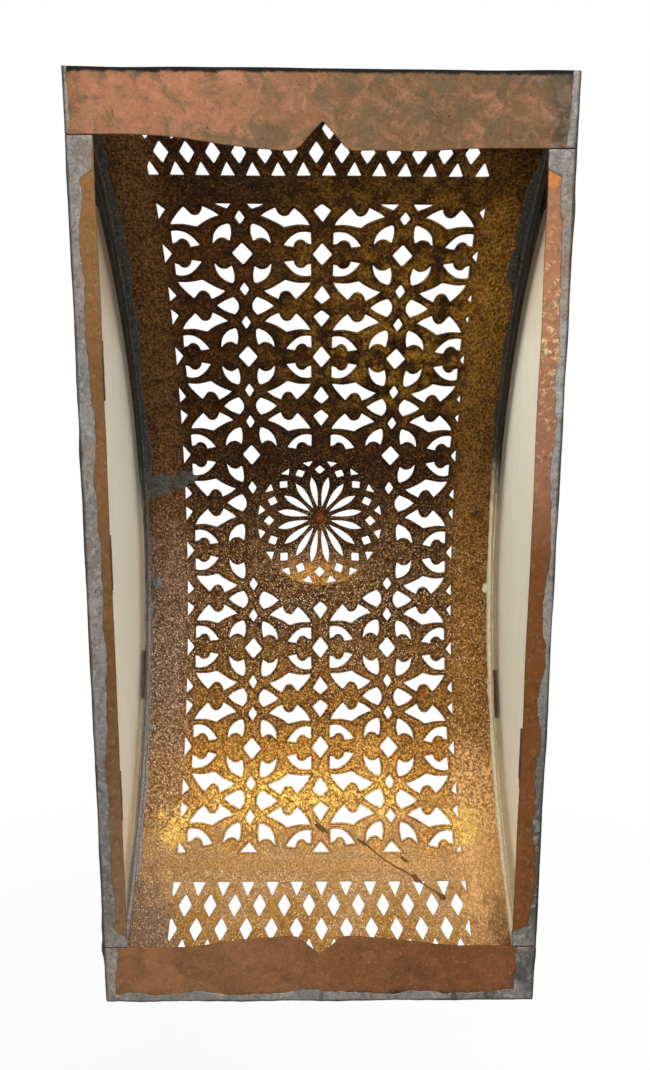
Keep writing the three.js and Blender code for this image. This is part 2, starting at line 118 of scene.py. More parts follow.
class SconceColours(bpy.types.PropertyGroup):
    """Colours of the finishes"""
    soot: tone("Soot", "Brass darkened by the lamp", 58, 36, 11)
    olive: tone("Olive", "Brass under thin soot", 160, 120, 38)
    bister: tone("Bister", "Dark brown brass of the middle", 76, 47, 16)
    brown: tone("Brown", "Brass under brown tarnish", 136, 98, 58)
    gold: tone("Gold", "Brass where it is bright", 212, 156, 78)
    # The colour of painted highlights on the brass
    painted_highlight: tone("Shine", "Brightest patches of the brass", 255, 208, 104)
    tan: tone("Tan", "Brass at the foot of the sheet", 184, 142, 92)
    rose: tone("Rose", "Brass under pinkish tarnish, on the right margin", 142, 112, 90)
    honey: tone("Honey", "Brass under thin tarnish, on the left margin", 146, 104, 50)
    ochre: tone("Ochre", "Ochre stains", 176, 106, 26)
    # The colour of painted streaky reflections on the fret
    marigold: tone("Marigold", "Yellow-orange flames of the fret's lower half", 204, 140, 50)
    # Colours of painted glints, pinpoint highlights on the metal
    copper_painted_glint: tone("Copper glint", "Bright grains in the soot", 170, 116, 70)
    pale_painted_glint: tone("Pale glint", "Bright grains in the brown", 255, 226, 186)
    salmon: tone("Salmon", "Copper where it is clean", 190, 134, 98)
    blush: tone("Blush", "Pink patches of the copper", 206, 146, 116)
    tarnish: tone("Tarnish", "Copper under brown tarnish", 138, 104, 72)
    umber: tone("Umber", "Copper of the bottom strip", 152, 106, 68)
    umber_dark: tone("Dark umber", "Darker copper of the bottom strip", 136, 84, 48)
    amber: tone("Amber", "Brass of the side strips", 146, 104, 62)
    rust: tone("Rust", "Orange-brown of the rivet", 166, 84, 26)
    rust_bright: tone("Bright rust", "Orange patch on the left side strip", 206, 132, 58)
    moss: tone("Moss", "Green patina", 118, 106, 78)
    lead: tone("Lead", "Solder", 140, 134, 128)
    slate: tone("Slate", "Dark solder", 92, 88, 80)
    ash: tone("Ash", "Bright worn solder", 186, 182, 174)
    tallow: tone("Tallow", "Pale, yellowish solder of the left seam", 202, 194, 166)
    charcoal: tone("Charcoal", "Tinning and solder under soot", 58, 55, 50)
    pitch: tone("Pitch", "Darkest grime", 34, 31, 28)
    cream: tone("Cream", "Milk glass", 250, 244, 225)
    russet: tone("Russet", "Copper of the left side strip's lower half", 134, 82, 38)
    plum: tone("Plum", "Tabs", 104, 76, 66)


# Shader expressions

def math_node(operation):
    """A socket's method that puts a node of mathematics behind it."""
    def method(self, *others):
        return self.shader.node("Math", {"operation": operation}, dict(enumerate((self, *others))))
    return method


class Socket:
    """An output of a node that can stand in an expression."""

    def __init__(self, shader, socket):
        self.shader = shader
        self.socket = socket

    __add__ = __radd__ = math_node("ADD")
    __mul__ = __rmul__ = math_node("MULTIPLY")
    __sub__ = math_node("SUBTRACT")
    __abs__ = math_node("ABSOLUTE")
    times_plus = math_node("MULTIPLY_ADD")
    least = math_node("MINIMUM")
    most = math_node("MAXIMUM")

    def __rsub__(self, other):
        return self.times_plus(-1.0, other)

    def rise(self, low, high):
        """0 below low, 1 above high, and smooth between them; it falls where high is the smaller."""
        if low > high:
            return 1 - self.rise(high, low)
        settings = {"interpolation_type": "SMOOTHSTEP"}
        return self.shader.node("MapRange", settings, {"Value": self, "From Min": low, "From Max": high})

    def near(self, middle, reach):
        """1 at middle, falling smoothly to 0 at reach from it."""
        return abs(self - middle).rise(reach, 0.0)


def axis(name):
    return cached_property(lambda shader: shader.node("SeparateXYZ", {}, {"Vector": shader.place}, name))


class Shader:
    """A material or a world and the nodes in it. Lengths in its patterns are millimetres."""

    x, y, z = axis("X"), axis("Y"), axis("Z")

    def __init__(self, name, blocks=None):
        self.owner = (bpy.data.materials if blocks is None else blocks).new(name)
        self.owner.use_nodes = True
        self.tree = self.owner.node_tree
        self.tree.nodes.clear()
        self.base = None

    @cached_property
    def place(self):
        place = self.node("TexCoord", output="Object")
        return self.node("VectorMath", {"operation": "SCALE"}, {"Vector": place, "Scale": 1 / MM})

    def node(self, kind, settings=None, values=None, output=0):
        made = self.tree.nodes.new(f"ShaderNode{kind}")
        for name, value in (settings or {}).items():
            setattr(made, name, value)
        for name, value in (values or {}).items():
            if isinstance(value, Socket):
                self.tree.links.new(value.socket, made.inputs[name])
            else:
                made.inputs[name].default_value = value
        return Socket(self, made.outputs[output])

    def noise(self, grain, detail=3, rough=0.55, warp=0.0, stretch=(1, 1, 1)):
        place = self.node("Mapping", {}, {"Vector": self.place, "Scale": stretch})
        values = {"Vector": place, "Scale": 1 / grain, "Detail": detail}
        return self.node("TexNoise", {}, {**values, "Roughness": rough, "Distortion": warp})

    def cells(self, grain):
        return self.node("TexVoronoi", {}, {"Vector": self.place, "Scale": 1 / grain}, "Distance")

    def mix(self, mask, low, high, blend="MIX"):
        low, high = (colour if isinstance(colour, Socket) else (*colour, 1) for colour in (low, high))
        return self.node("Mix", {"data_type": "RGBA", "blend_type": blend}, {0: mask, 6: low, 7: high}, 2)

    def bands(self, value, *stops):
        """Blends from colour to colour as the value goes from one stop to the next."""
        tint = stops[0][1]
        for (before, _), (place, colour) in zip(stops, stops[1:]):
            tint = self.mix(value.rise(before, place), tint, colour)
        return tint

    def lay(self, mask, colour, blend="MIX"):
        """Lays a colour over the base where the mask is 1."""
        self.base = self.mix(mask, self.base, colour, blend)

    def shade(self, mask, factor):
        """Makes the base lighter or darker where the mask is 1."""
        self.lay(mask, (factor, factor, factor), "MULTIPLY")

    def finish(self, rough, height, metal=1.0, depth=0.2, constants=None):
        """The surface over the base, with a bump of depth millimetres where height goes from 0 to 1."""
        bump = self.node("Bump", {}, {"Height": height, "Distance": depth * MM})
        values = {"Base Color": self.base, "Roughness": rough, "Metallic": metal, "Normal": bump}
        self.output(self.node("BsdfPrincipled", {}, {**values, **(constants or {})}))

    def seen_directly(self):
        """1 for rays from the camera and for what metal and glass show, and 0 for light."""
        camera, glossy, through = (
            self.node("LightPath", output=f"Is {kind} Ray") for kind in ("Camera", "Glossy", "Transmission"))
        return camera.most(glossy).most(through)

    def output(self, surface, kind="OutputMaterial"):
        target = self.tree.nodes.new(f"ShaderNode{kind}")
        self.tree.links.new(surface.socket, target.inputs["Surface"])
        return self.owner


def finish_of(painter):
    """The finish that a function paints, made once."""
    name = f"finish_{painter.__name__}"
    found = bpy.data.materials.get(name)
    if found:
        return found
    shader = Shader(name)
    painter(shader, bpy.context.scene.sconce_colours)
    return shader.owner


# Finishes

# Each function paints one finish over a shader's base. Numbers without a name are places and grains in
# millimetres, shares of a mask, and factors of a colour, set against the real metal.

# What darkens the hollows between the brass's beaten grains: painted shade, browner than the grains
HOLLOW_SHADE = (0.3, 0.21, 0.1)


def aged_brass(s, tones):
    """Brass stippled all over: sooty at the top, brown in the middle and gold at the bottom, with painted
    highlights, glints and reflections.
    """
    patches = s.noise(28, 4, 0.65)
    clouds = s.noise(8, 5, 0.7)
    flames = s.noise(3.4, 5, 0.75, 1.2)
    beaten = s.noise(1.5, 3, 0.75)
    dots = s.cells(1.35)
    height = s.z + (patches - 0.5) * 70 + (clouds - 0.5) * 40
    flank = (abs(s.x) + (clouds - 0.5) * 14).rise(72, 90)
    middle = s.bands(
        height, (210, tones.soot * 0.8), (160, tones.bister * 1.3), (100, tones.bister),
        (40, tones.bister * 0.85), (-25, tones.brown * 1.15), (-100, tones.brown * 0.95), (-140, tones.gold),
        (-185, tones.tan * 0.88), (-205, tones.gold * 0.55), (-222, tones.brown * 0.8),
    )
    right = s.bands(
        height, (180, tones.brown * 0.76), (70, tones.brown * 0.7), (20, tones.brown * 0.8),
        (-30, tones.rose), (-90, tones.rose * 1.15), (-150, tones.tan * 0.85), (-180, tones.tan),
        (-205, tones.rose * 0.95),
    )
    left = s.bands(
        height, (200, tones.bister * 1.2), (150, tones.honey * 1.75), (70, tones.honey * 0.9),
        (0, tones.honey * 1.1), (-110, tones.honey * 1.5), (-150, tones.tan * 1.8), (-190, tones.tan * 1.5),
        (-215, tones.brown * 1.4),
    )
    s.base = s.mix(flank, middle, s.mix(s.x.rise(-20, 20), left, right))
    olive = height.near(135, 90) * (s.x + (patches - 0.5) * 60).rise(60, -40) * clouds.rise(0.42, 0.56)
    s.lay(olive, tones.olive)
    soot = height.near(100, 140) * s.noise(12, 4, 0.65).rise(0.46, 0.6) * 0.85 * (1 - flank * 0.7)
    s.lay(soot, tones.soot * 0.5)
    # Painted reflections: yellow-orange streaks over the fret's lower half, with darker streaks between them.
    fret = height.near(-115, 75) * (1 - flank)
    s.lay(flames.rise(0.47, 0.56) * fret * 0.85, tones.marigold * 0.8)
    s.lay(flames.rise(0.46, 0.38) * fret * 0.8, tones.bister * 0.9)
    edge = (s.x + clouds * 20).near(-78, 24) * s.z.near(125, 85)
    stained = s.z.rise(-60, 60).most(height.rise(20, -60) * 0.6)
    s.lay(s.noise(4, 4, 0.7).rise(0.56, 0.68) * (0.25 + edge * 0.9) * stained, tones.ochre)
    # Painted highlights: a bright gleam low on both margins and over the fret's lower half.
    ends = s.z.near(-163, 17) * (abs(s.x) + clouds * 20).near(94, 22)
    heart = (s.z + (clouds - 0.5) * 34).near(-149, 27) * (abs(s.x - 10) + patches * 40).rise(110, 60)
    lit = ends.most(heart * (0.4 + patches * 0.6)) * flames.rise(0.36, 0.6) * (0.5 + clouds)
    s.lay(lit.rise(0.1, 0.7), tones.painted_highlight)
    blots = s.noise(6, 3, 0.5).rise(0.64, 0.72) * s.z.rise(-150, 20)
    s.lay(blots * 0.75, tones.pitch)
    heavy = (s.z + (clouds - 0.5) * 40).near(-5, 100).least(0.5) * (1 - flank)
    s.lay(heavy * s.noise(4, 6, 0.8, 1.2).rise(0.46, 0.54) * 1.6, tones.bister * 0.5)
    plain = height.rise(-150, -175)
    # Painted shade in the hollows and a painted highlight on the tops of the beaten grains, weaker on the
    # plain foot.
    s.lay(beaten.rise(0.55, 0.42) * (0.85 - plain * 0.5), HOLLOW_SHADE, "MULTIPLY")
    s.shade(beaten.rise(0.52, 0.64) * (0.6 - plain * 0.3), 1.7)
    # Painted glints: pinpoint highlights on the beaten grains, copper-coloured high up and paler lower down.
    glint = dots.rise(0.36, 0.16) * (beaten + clouds).rise(0.84, 1.1) * (1 - plain * 0.4)
    pale = s.mix(fret, tones.pale_painted_glint, tones.painted_highlight * 0.8)
    sparkle = s.mix(height.rise(60, -60), tones.copper_painted_glint, pale)
    s.lay(glint * (0.4 + height.rise(80, 0) * (0.6 - fret * 0.2)), sparkle)
    s.finish(0.5 - glint * 0.14, beaten - dots * 0.6 + clouds * 0.4, metal=0.85, depth=0.5)


def ring_brass(s, tones):
    """Stamped rings, rubbed bright, and painted lighter as a highlight on their relief."""
    clouds = s.noise(3, 4, 0.6)
    s.base = s.mix(clouds.rise(0.4, 0.65), tones.tan * 1.15, tones.gold)
    s.finish(0.42, clouds, metal=0.85, depth=0.1)


def rosette_brass(s, tones):
    """Brass of the rosette, dark in the middle, with a painted highlight in gold along its lower rim."""
    clouds = s.noise(6, 4, 0.65)
    beaten = s.noise(1.4, 3, 0.7)
    dots = s.cells(1.25)
    height = s.z + (clouds - 0.5) * 24
    # Its lowest stops, in gold, are a painted highlight along the dome's lower rim.
    s.base = s.bands(
        height, (46, tones.bister * 0.9), (14, tones.bister * 1.2), (-4, tones.bister * 1.2),
        (-16, tones.brown), (-26, tones.gold * 0.8), (-34, tones.gold * 0.7),
    )
    # Painted light: the dome's steep sides are painted lighter against their shade.
    s.lay(abs(s.x).rise(22, 38) * 0.7, tones.brown * 1.1)
    s.lay(s.noise(5, 5, 0.75, 0.8).rise(0.48, 0.6) * height.rise(-24, -10) * 0.6, tones.bister * 0.5)
    # Painted highlight in bright patches along the lower rim.
    s.lay(s.noise(2.6, 4, 0.7, 0.8).rise(0.5, 0.62) * height.rise(-20, -30) * 0.7, tones.painted_highlight)
    stripe = s.x.near(0, 7) * s.z.rise(14, -6) * clouds.rise(0.35, 0.6)
    s.lay(stripe * 0.6, tones.ochre)
    # Painted shade in the hollows of the beaten grains.
    s.lay(beaten.rise(0.55, 0.42) * 0.85, HOLLOW_SHADE, "MULTIPLY")
    # Painted glints, brighter lower down.
    glint = dots.rise(0.36, 0.16) * (beaten + clouds).rise(0.84, 1.1)
    s.lay(glint * (0.5 + height.rise(10, -20) * 0.4), tones.pale_painted_glint)
    s.finish(0.5, beaten - dots * 0.6 + clouds, metal=0.85, depth=0.35)


def rusty_copper(s, tones):
    """Orange-brown of the rivet."""
    clouds = s.noise(1.6, 4, 0.7)
    s.base = s.mix(clouds.rise(0.35, 0.6), tones.rust, tones.bister * 1.2)
    s.finish(0.6, clouds, metal=0.6, depth=0.8)


def strip_copper(s, tones, patina, blush):
    """Lays cloudy patches, a green-grey bloom, fine grain and a dark outer edge over the copper's base."""
    clouds = s.noise(11, 6, 0.7, 0.6)
    flames = s.noise(9, 6, 0.75, 0.8)
    grain = s.noise(1.2, 4, 0.75)
    spots = s.noise(2.6, 2, 0.6)
    s.shade(clouds.rise(0.42, 0.68) * 0.55, 0.6)
    s.lay(flames.rise(0.44, 0.68) * blush, tones.blush)
    bloom = (s.noise(16, 6, 0.75, 0.8) * 0.75 + clouds * 0.3).rise(0.5, 0.62)
    s.lay(bloom * patina, tones.moss)
    s.shade(s.noise(5, 5, 0.7).rise(0.56, 0.66) * 0.4, 0.55)
    s.shade(grain.rise(0.54, 0.7) * 0.35, 1.6)
    s.shade(grain.rise(0.47, 0.32) * 0.5, 0.4)
    s.lay(spots.rise(0.68, 0.76) * 0.8, tones.pitch)
    # Darker along the outer edges at the top and the bottom.
    dark_outer_edge = (abs(s.z) + clouds * 4 + grain * 1.5).rise(231.2, 232.6)
    s.lay(dark_outer_edge, tones.pitch)
    s.finish(0.68 + bloom * 0.1, grain * 0.5 + clouds + spots * 0.4, metal=0.8, depth=0.3)


def salmon_copper(s, tones):
    """Top strip: salmon with pink and mossy patches on the right, browner on the left, grey at the ends."""
    patches = s.noise(44, 4, 0.6, 0.4)
    soft = s.noise(9, 4, 0.6)
    s.base = s.mix((s.x + (patches - 0.5) * 110).rise(60, -40), tones.salmon * 0.8, tones.tarnish * 0.8)
    side = abs(s.x) - s.x.rise(-1, 1) * 4 + (soft - 0.5) * 16
    ends = side.rise(99, 106).most((s.z - s.x * 0.12 + soft * 10).rise(240, 246))
    grey = s.mix(soft.rise(0.4, 0.6), tones.charcoal, tones.slate)
    s.lay(ends * 0.8, s.mix(s.x.rise(-1, 1) * 0.8, grey, tones.amber * 1.2))
    strip_copper(s, tones, patina=0.6, blush=0.4)


def umber_copper(s, tones):
    """Bottom strip: reddish brown, darker on the left, with golden specks."""
    patches = s.noise(36, 4, 0.6, 0.4)
    s.base = s.mix((s.x + (patches - 0.5) * 130).rise(60, -80), tones.umber, tones.umber_dark)
    s.shade(patches.rise(0.4, 0.62) * 0.5, 0.6)
    s.lay(s.noise(1.6, 3, 0.8).rise(0.58, 0.68) * 0.6, tones.gold)
    seep = (s.z - s.noise(7, 4, 0.7) * 9).rise(-229, -233) * s.x.rise(60, 20)
    s.lay(seep * 0.85, tones.pitch)
    strip_copper(s, tones, patina=0.16, blush=0.15)


def side_copper(s, tones):
    """Side strips: amber on the right, and on the left salmon with painted glints and an amber foot."""
    clouds = s.noise(7, 5, 0.7)
    grain = s.noise(1.6, 4, 0.75)
    left = s.x.rise(1, -1)
    height = s.z + (clouds - 0.5) * 50
    warm = s.bands(height, (190, tones.amber), (60, tones.amber * 0.78),
                   (-60, tones.amber * 0.62), (-170, tones.tarnish * 0.9))
    pale = s.bands(height, (190, tones.salmon * 0.7), (120, tones.salmon * 0.78),
                   (50, tones.salmon * 0.62), (0, tones.russet * 0.8))
    s.base = s.mix(left, warm, pale)
    s.shade(clouds.rise(0.45, 0.62) * 0.55, 0.6)
    s.shade(s.noise(16, 5, 0.7, 0.6).rise(0.52, 0.62) * 0.35, 1.35)
    patch = left * s.z.near(186, 9) * (s.x + clouds * 6).near(-100.5, 7.5)
    s.lay(patch.rise(0.2, 0.8) * clouds.rise(0.36, 0.56) * 0.85, tones.rust_bright)
    # Painted glints: pale-gold highlights in soft flecks, mostly on the left strip.
    flecks = (s.noise(3.2, 5, 0.75, 0.6) * 0.8 + clouds * 0.4).rise(0.59, 0.74)
    painted_highlight = flecks * (0.12 + left * s.z.near(110, 80) * 0.88)
    s.lay(painted_highlight * 0.75, s.mix(grain.rise(0.4, 0.6), tones.gold, tones.pale_painted_glint))
    s.shade(grain.rise(0.45, 0.3) * 0.5, 0.35)
    s.finish(0.6 - painted_highlight * 0.2, grain + clouds, metal=0.8, depth=0.3)


def tinned_brass(s, tones):
    """Sides: charcoal tinning with lighter, speckled solder towards the curved edge."""
    clouds = s.noise(11, 5, 0.65)
    grain = s.noise(0.8, 3, 0.65)
    low = (s.z + (clouds - 0.5) * 60).rise(-10, -90)
    s.base = s.mix(clouds.rise(0.35, 0.7), tones.charcoal, tones.charcoal * 2.2)
    s.lay(low * 0.75, tones.lead)
    # Painted light: the rims' inner faces are painted pale cream low down, against the shade they lie in.
    inside = abs(s.x).rise(108.3, 107.9) * (s.z + (clouds - 0.5) * 50).rise(50, 10)
    s.lay(inside * 0.95, tones.cream * 0.85)
    upper = s.z.near(182, 11) * s.y.near(-30, 8)
    lower = s.z.near(102, 11) * s.y.near(-77, 5)
    s.lay(upper.most(lower).rise(0.15, 0.4) * s.x.rise(1, -1), tones.pitch * 0.3)
    s.lay(grain.rise(0.6, 0.8) * 0.35, tones.ash)
    s.finish(0.62, grain * 0.7 + clouds, metal=0.6, depth=0.25)


def solder(s, tones):
    """Dull grey solder, softly mottled, with brownish stains, and dark on its outer edge and at the foot."""
    clouds = s.noise(13, 5, 0.6, 0.5, (1, 1, 0.6))
    lumps = s.noise(4.5, 3, 0.55, 0.6)
    grain = s.noise(1.0, 3, 0.7)
    height = s.z + (clouds - 0.5) * 80
    left = s.x.rise(1, -1)
    s.base = s.mix(clouds.rise(0.3, 0.7), tones.lead * 1.22, tones.lead * 0.8)
    s.lay(height.rise(-20, -150) * (0.45 + left * 0.52), tones.slate * 0.7)
    s.lay(left * s.z.near(90, 110) * 0.45, tones.ash)
    s.lay(s.z.rise(-178, -200) * clouds.rise(0.38, 0.54) * 0.75, tones.lead * 1.15)
    s.lay((lumps * 0.7 + clouds * 0.4).rise(0.56, 0.7) * 0.4, tones.ash)
    s.lay(s.noise(2.4, 4, 0.75, 0.8).rise(0.5, 0.38) * 0.45, tones.slate * 0.6)
    stain = s.noise(17, 4, 0.6, 0.5).rise(0.48, 0.64) * height.rise(-60, 140)
    s.lay(stain * 0.5, tones.tarnish)
    s.lay(grain.rise(0.46, 0.32) * 0.5, tones.charcoal)
    s.lay(grain.rise(0.58, 0.7) * 0.3, tones.ash)
    cracks = s.noise(3, 4, 0.7, 1.5).near(0.5, 0.012) * clouds.rise(0.45, 0.6)
    s.lay(cracks * 0.6, tones.pitch)
    outer = (abs(s.x) + clouds * 1.6).rise(113.4, 114.9).most((clouds * 1.6 - s.z).rise(230.4, 231.9))
    s.lay(outer * 0.85, tones.pitch)
    s.finish(0.55, lumps + grain * 0.25 + clouds, metal=0.7, depth=0.5)


def seam_solder(s, tones):
    """Solder of the long seams: charcoal at the top, and pale and grainy below."""
    clouds = s.noise(7, 5, 0.65)
    grain = s.noise(1.3, 3, 0.75)
    height = s.z + (clouds - 0.5) * 70
    s.base = s.bands(height, (150, tones.charcoal * 1.7), (60, tones.charcoal * 1.5),
                   (10, tones.slate * 1.2), (-60, tones.lead), (-200, tones.lead * 1.2))
    low = height.rise(40, -60)
    left = s.x.rise(1, -1)
    s.lay(height.rise(60, 10) * left * 0.95, tones.tallow * 1.75)
    s.lay(grain.rise(0.5, 0.66) * (0.2 + low * 0.6), tones.ash)
    s.lay(grain.rise(0.46, 0.34) * (0.6 - left * 0.25), tones.pitch)
    s.finish(0.55, clouds + grain * 1.2, metal=0.6, depth=0.6)


def joint_crack_shade(s, tones):
    """Painted shade: a black fill in the frame's joints, standing in for the shade in their cracks."""
    clouds = s.noise(2, 3, 0.6)
    s.base = s.mix(clouds, tones.pitch, tones.pitch * 0.4)
    s.finish(0.8, clouds, metal=0.0, depth=0.2)


def milk_glass(s, tones):
    """Cream glass with fine upright streaks, browner at the top, where soot has settled."""
    streaks = s.noise(3.2, 4, 0.6, 0.3, (1, 1, 0.05))
    fine = s.noise(0.9, 2, 0.6, 0.0, (1, 1, 0.06))
    clouds = s.noise(40, 3, 0.5)
    s.base = s.mix(streaks.rise(0.3, 0.75) * 0.4, tones.cream, tones.cream * 0.8)
    s.lay(fine.rise(0.5, 0.8) * 0.3, tones.cream * 1.1)
    s.lay((s.z + clouds * 50).rise(110, 210) * 0.6, tones.tan)
    constants = {"Coat Weight": 0.1, "Coat Roughness": 0.15, "Transmission Weight": 0.92, "IOR": 1.35}
    s.finish(0.6, streaks, metal=0.0, depth=0.05, constants=constants)


def tab_copper(s, tones):
    """Purplish-brown, speckled copper of the tabs."""
    clouds = s.noise(5, 4, 0.6)
    grain = s.noise(0.7, 3, 0.7)
    s.base = s.mix(clouds.rise(0.3, 0.7), tones.plum, tones.plum * 0.6)
    s.lay(grain.rise(0.55, 0.75) * 0.5, tones.rose)
    s.finish(0.6, grain + clouds, metal=0.7, depth=0.2)


def chased_brass(s, tones):
    """Chased lines, nearly black above and brown where the brass is bright."""
    clouds = s.noise(12, 4, 0.6)
    s.base = s.mix((s.z + clouds * 50).rise(-60, -140), tones.pitch, tones.brown * 0.6)
    s.finish(0.6, clouds, depth=0.1)


def floor_white():
    """A pale floor. It takes the sconce's shadow near it and is plain white to the eye farther off."""
    s = Shader("floor_white")
    reach = s.node("VectorMath", {"operation": "LENGTH"}, {0: s.place}, "Value")
    eye = s.seen_directly() * (0.55 + reach.rise(800, 1600) * 0.45)
    pale = s.node("BsdfPrincipled", {}, {"Base Color": (0.85, 0.85, 0.85, 1), "Roughness": 0.9})
    white = s.node("Emission", {}, {"Color": (1, 1, 1, 1), "Strength": 1.0})
    return s.output(s.node("MixShader", {}, {0: eye, 1: pale, 2: white}))


# Places

class Arch:
    """The curve of the bowed sheet's inner face, half its length and half its width."""
    dent_grain = 42 * MM

    def __init__(self, sizes):
        self.dent = sizes.dent
        self.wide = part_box("front_panel")[1].x
        half_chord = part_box("top_strip")[1].z - sizes.arch_inset
        self.radius = (half_chord ** 2 + sizes.arch_depth ** 2) / (2 * sizes.arch_depth)
        self.centre = self.radius - sizes.arch_depth
        self.half = self.radius * math.asin(half_chord / self.radius)

    def bend(self, across, along, out):
        """Across the sheet, along its arc from the middle, and out from its inner face."""
        angle, radius = along / self.radius, self.radius + out
        return Vector((across, self.centre - radius * math.cos(angle), radius * math.sin(angle)))

    def beaten(self, across, along, out):
        """The same on the hand-beaten sheet, which has dents except along its soldered sides."""
        dent = wave((across, along, 0), self.dent_grain, self.dent, 3) * (1 - (abs(across) / self.wide) ** 6)
        return self.bend(across, along, out + dent)


def on_frame(across, up, out):
    """A place on the frame's uneven strips: across, up, and out from the wall."""
    here = (across, up, 0)
    return Vector((
        across + ripple(here, 1, (30, 0.45)),
        ripple(here, 2, (38, 0.35)) - out,
        up + ripple(here, 4, (30, 0.45)),
    ))


def seam_corner(name):
    """From the middle to a side's inner face, where its seam lies."""
    return max(abs(corner.x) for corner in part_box(name))


def wave(place, grain, depth, seed):
    """A smooth random height, the same at each run."""
    return noise.noise(Vector(place) / grain + Vector((seed, seed * 1.7, seed * 0.3))) * depth


def ripple(place, seed, *waves):
    """The sum of random waves, each with its grain and depth in millimetres."""
    return sum(wave(place, grain * MM, depth * MM, seed) for grain, depth in waves)


def smooth(value, low, high):
    """0 at low and 1 at high, smooth between them."""
    share = min(1.0, max(0.0, (value - low) / (high - low)))
    return share * share * (3 - 2 * share)


# Outlines

# Facets of a curve between two points, and of the rosette's rim and the opening behind it
CURVE_STEPS = 3
RIM_STEPS = 96

# The most of a side that a rounded corner takes
CORNER_SHARE = 0.45


def drawn(points, corner):
    """An outline through points (x, y, soft), curved at the soft ones and rounded off at the others."""
    places = [Vector(point[:2]) for point in points]
    soft = [point[2] for point in points]
    count = len(points)
    sampled = []
    for i in range(count):
        here, there = places[i], places[(i + 1) % count]
        leave = (there - places[i - 1]) / 2 if soft[i] else there - here
        arrive = (places[(i + 2) % count] - here) / 2 if soft[(i + 1) % count] else there - here
        steps = CURVE_STEPS if soft[i] or soft[(i + 1) % count] else 1
        for k in range(steps):
            sampled.append((hermite(here, leave, there, arrive, k / steps), k > 0 or soft[i]))
    outline = []
    for i, (place, flowing) in enumerate(sampled):
        if flowing:
            outline.append(place)
            continue
        before = sampled[i - 1][0] - place
        after = sampled[(i + 1) % len(sampled)][0] - place
        reach = min(corner, before.length * CORNER_SHARE, after.length * CORNER_SHARE)
        start, end = place + before.normalized() * reach, place + after.normalized() * reach
        outline += [start, (start + place * 2 + end) / 4, end]
    return outline


def hermite(here, leave, there, arrive, t):
    a, b = 2 * t ** 3 - 3 * t ** 2 + 1, t ** 3 - 2 * t ** 2 + t
    c, d = 3 * t ** 2 - 2 * t ** 3, t ** 3 - t ** 2
    return here * a + leave * b + there * c + arrive * d


def kept(outline, side, limit, way):
    """The part of an outline below a limit on one side of it where way is 1, or above it where way is -1."""
    result = []
    for i, place in enumerate(outline):
        before = outline[i - 1]
        inside = way * (place[side] - limit) <= 0
        if inside != (way * (before[side] - limit) <= 0):
            result.append(before.lerp(place, (limit - before[side]) / (place[side] - before[side])))
        if inside:
            result.append(place)
    return result


def widened(outline, reach):
    """The outline moved outwards by reach."""
    count = len(outline)
    area = sum(outline[i - 1].cross(outline[i]) for i in range(count))
    turn = 1 if area > 0 else -1
    result = []
    for i in range(count):
        before = (outline[i] - outline[i - 1]).normalized()
        after = (outline[(i + 1) % count] - outline[i]).normalized()
        outward = Vector((before.y + after.y, -before.x - after.x)) * turn
        share = max(0.5, outward.length / 2)
        result.append(outline[i] + outward.normalized() * reach / share)
    return result


def rectangle(half, middle=Vector((0, 0))):
    return [middle + Vector((x * half.x, y * half.y)) for x, y in ((-1, -1), (1, -1), (1, 1), (-1, 1))]


def circle(middle, radius, count):
    turns = (2 * math.pi * i / count for i in range(count))
    return [Vector((middle[0] + radius * math.cos(t), middle[1] + radius * math.sin(t))) for t in turns]


# The fret's openings in a quarter cell. The first number goes from a column of kites, 0, to a column
# of small diamonds, 1; the second from a row of stars, 0, halfway to the next, 1; the third is softness.
WING = (
    (0.15, 0.536, 0), (0.30, 0.543, 1), (0.47, 0.494, 0), (0.54, 0.564, 1), (0.65, 0.647, 1),
    (0.755, 0.702, 0), (0.68, 0.785, 1), (0.565, 0.872, 0), (0.545, 0.795, 1), (0.51, 0.735, 1),
    (0.46, 0.712, 1), (0.41, 0.735, 1), (0.378, 0.79, 1), (0.335, 0.862, 0), (0.25, 0.743, 1),
    (0.18, 0.62, 1),
)
CRESCENT = (
    (0.14, 0.18, 0), (0.14, 0.41, 0), (0.20, 0.425, 1), (0.30, 0.40, 1), (0.40, 0.30, 1), (0.485, 0.152, 0),
    (0.36, 0.121, 0), (0.343, 0.19, 1), (0.312, 0.24, 1), (0.267, 0.262, 1), (0.222, 0.243, 1),
    (0.19, 0.2, 1),
)
SHIELD = (
    (0.64, 0.182, 0), (0.70, 0.265, 1), (0.78, 0.288, 1), (0.856, 0.226, 0), (0.878, 0.384, 1),
    (0.868, 0.53, 1), (0.84, 0.562, 0), (0.75, 0.505, 1), (0.675, 0.39, 1), (0.645, 0.265, 1),
)
FISH = (
    (-0.375, 0, 0), (-0.27, -0.105, 1), (-0.15, -0.178, 0), (-0.10, -0.08, 1), (-0.09, 0, 1),
    (-0.10, 0.08, 1), (-0.15, 0.178, 0), (-0.27, 0.105, 1),
)
KITE = ((0, 0.592, 0), (0.112, 0.815, 0), (0, 0.945, 0), (-0.112, 0.815, 0))
SMALL_DIAMOND = ((0, 0.54, 0), (0.064, 0.675, 0), (0, 0.815, 0), (-0.064, 0.675, 0))
WIDE_STAR = ((0.122, 0, 0), (0, 0.212, 0), (-0.122, 0, 0), (0, -0.212, 0))
TALL_STAR = ((0.13, 0, 0), (0, 0.21, 0), (-0.13, 0, 0), (0, -0.21, 0))

# The rosette's openings, the same way, in millimetres out from its middle and across
PETAL = ((7, 0, 0), (15, -1.7, 1), (22, -1.8, 1), (27, 0, 0), (22, 1.8, 1), (15, 1.7, 1))
SQUARE = ((35, 0, 0), (31.8, 3.2, 0), (28.6, 0, 0), (31.8, -3.2, 0))
TRIANGLE = ((34.6, 0, 0), (38.4, -3.2, 0), (38.4, 3.2, 0))


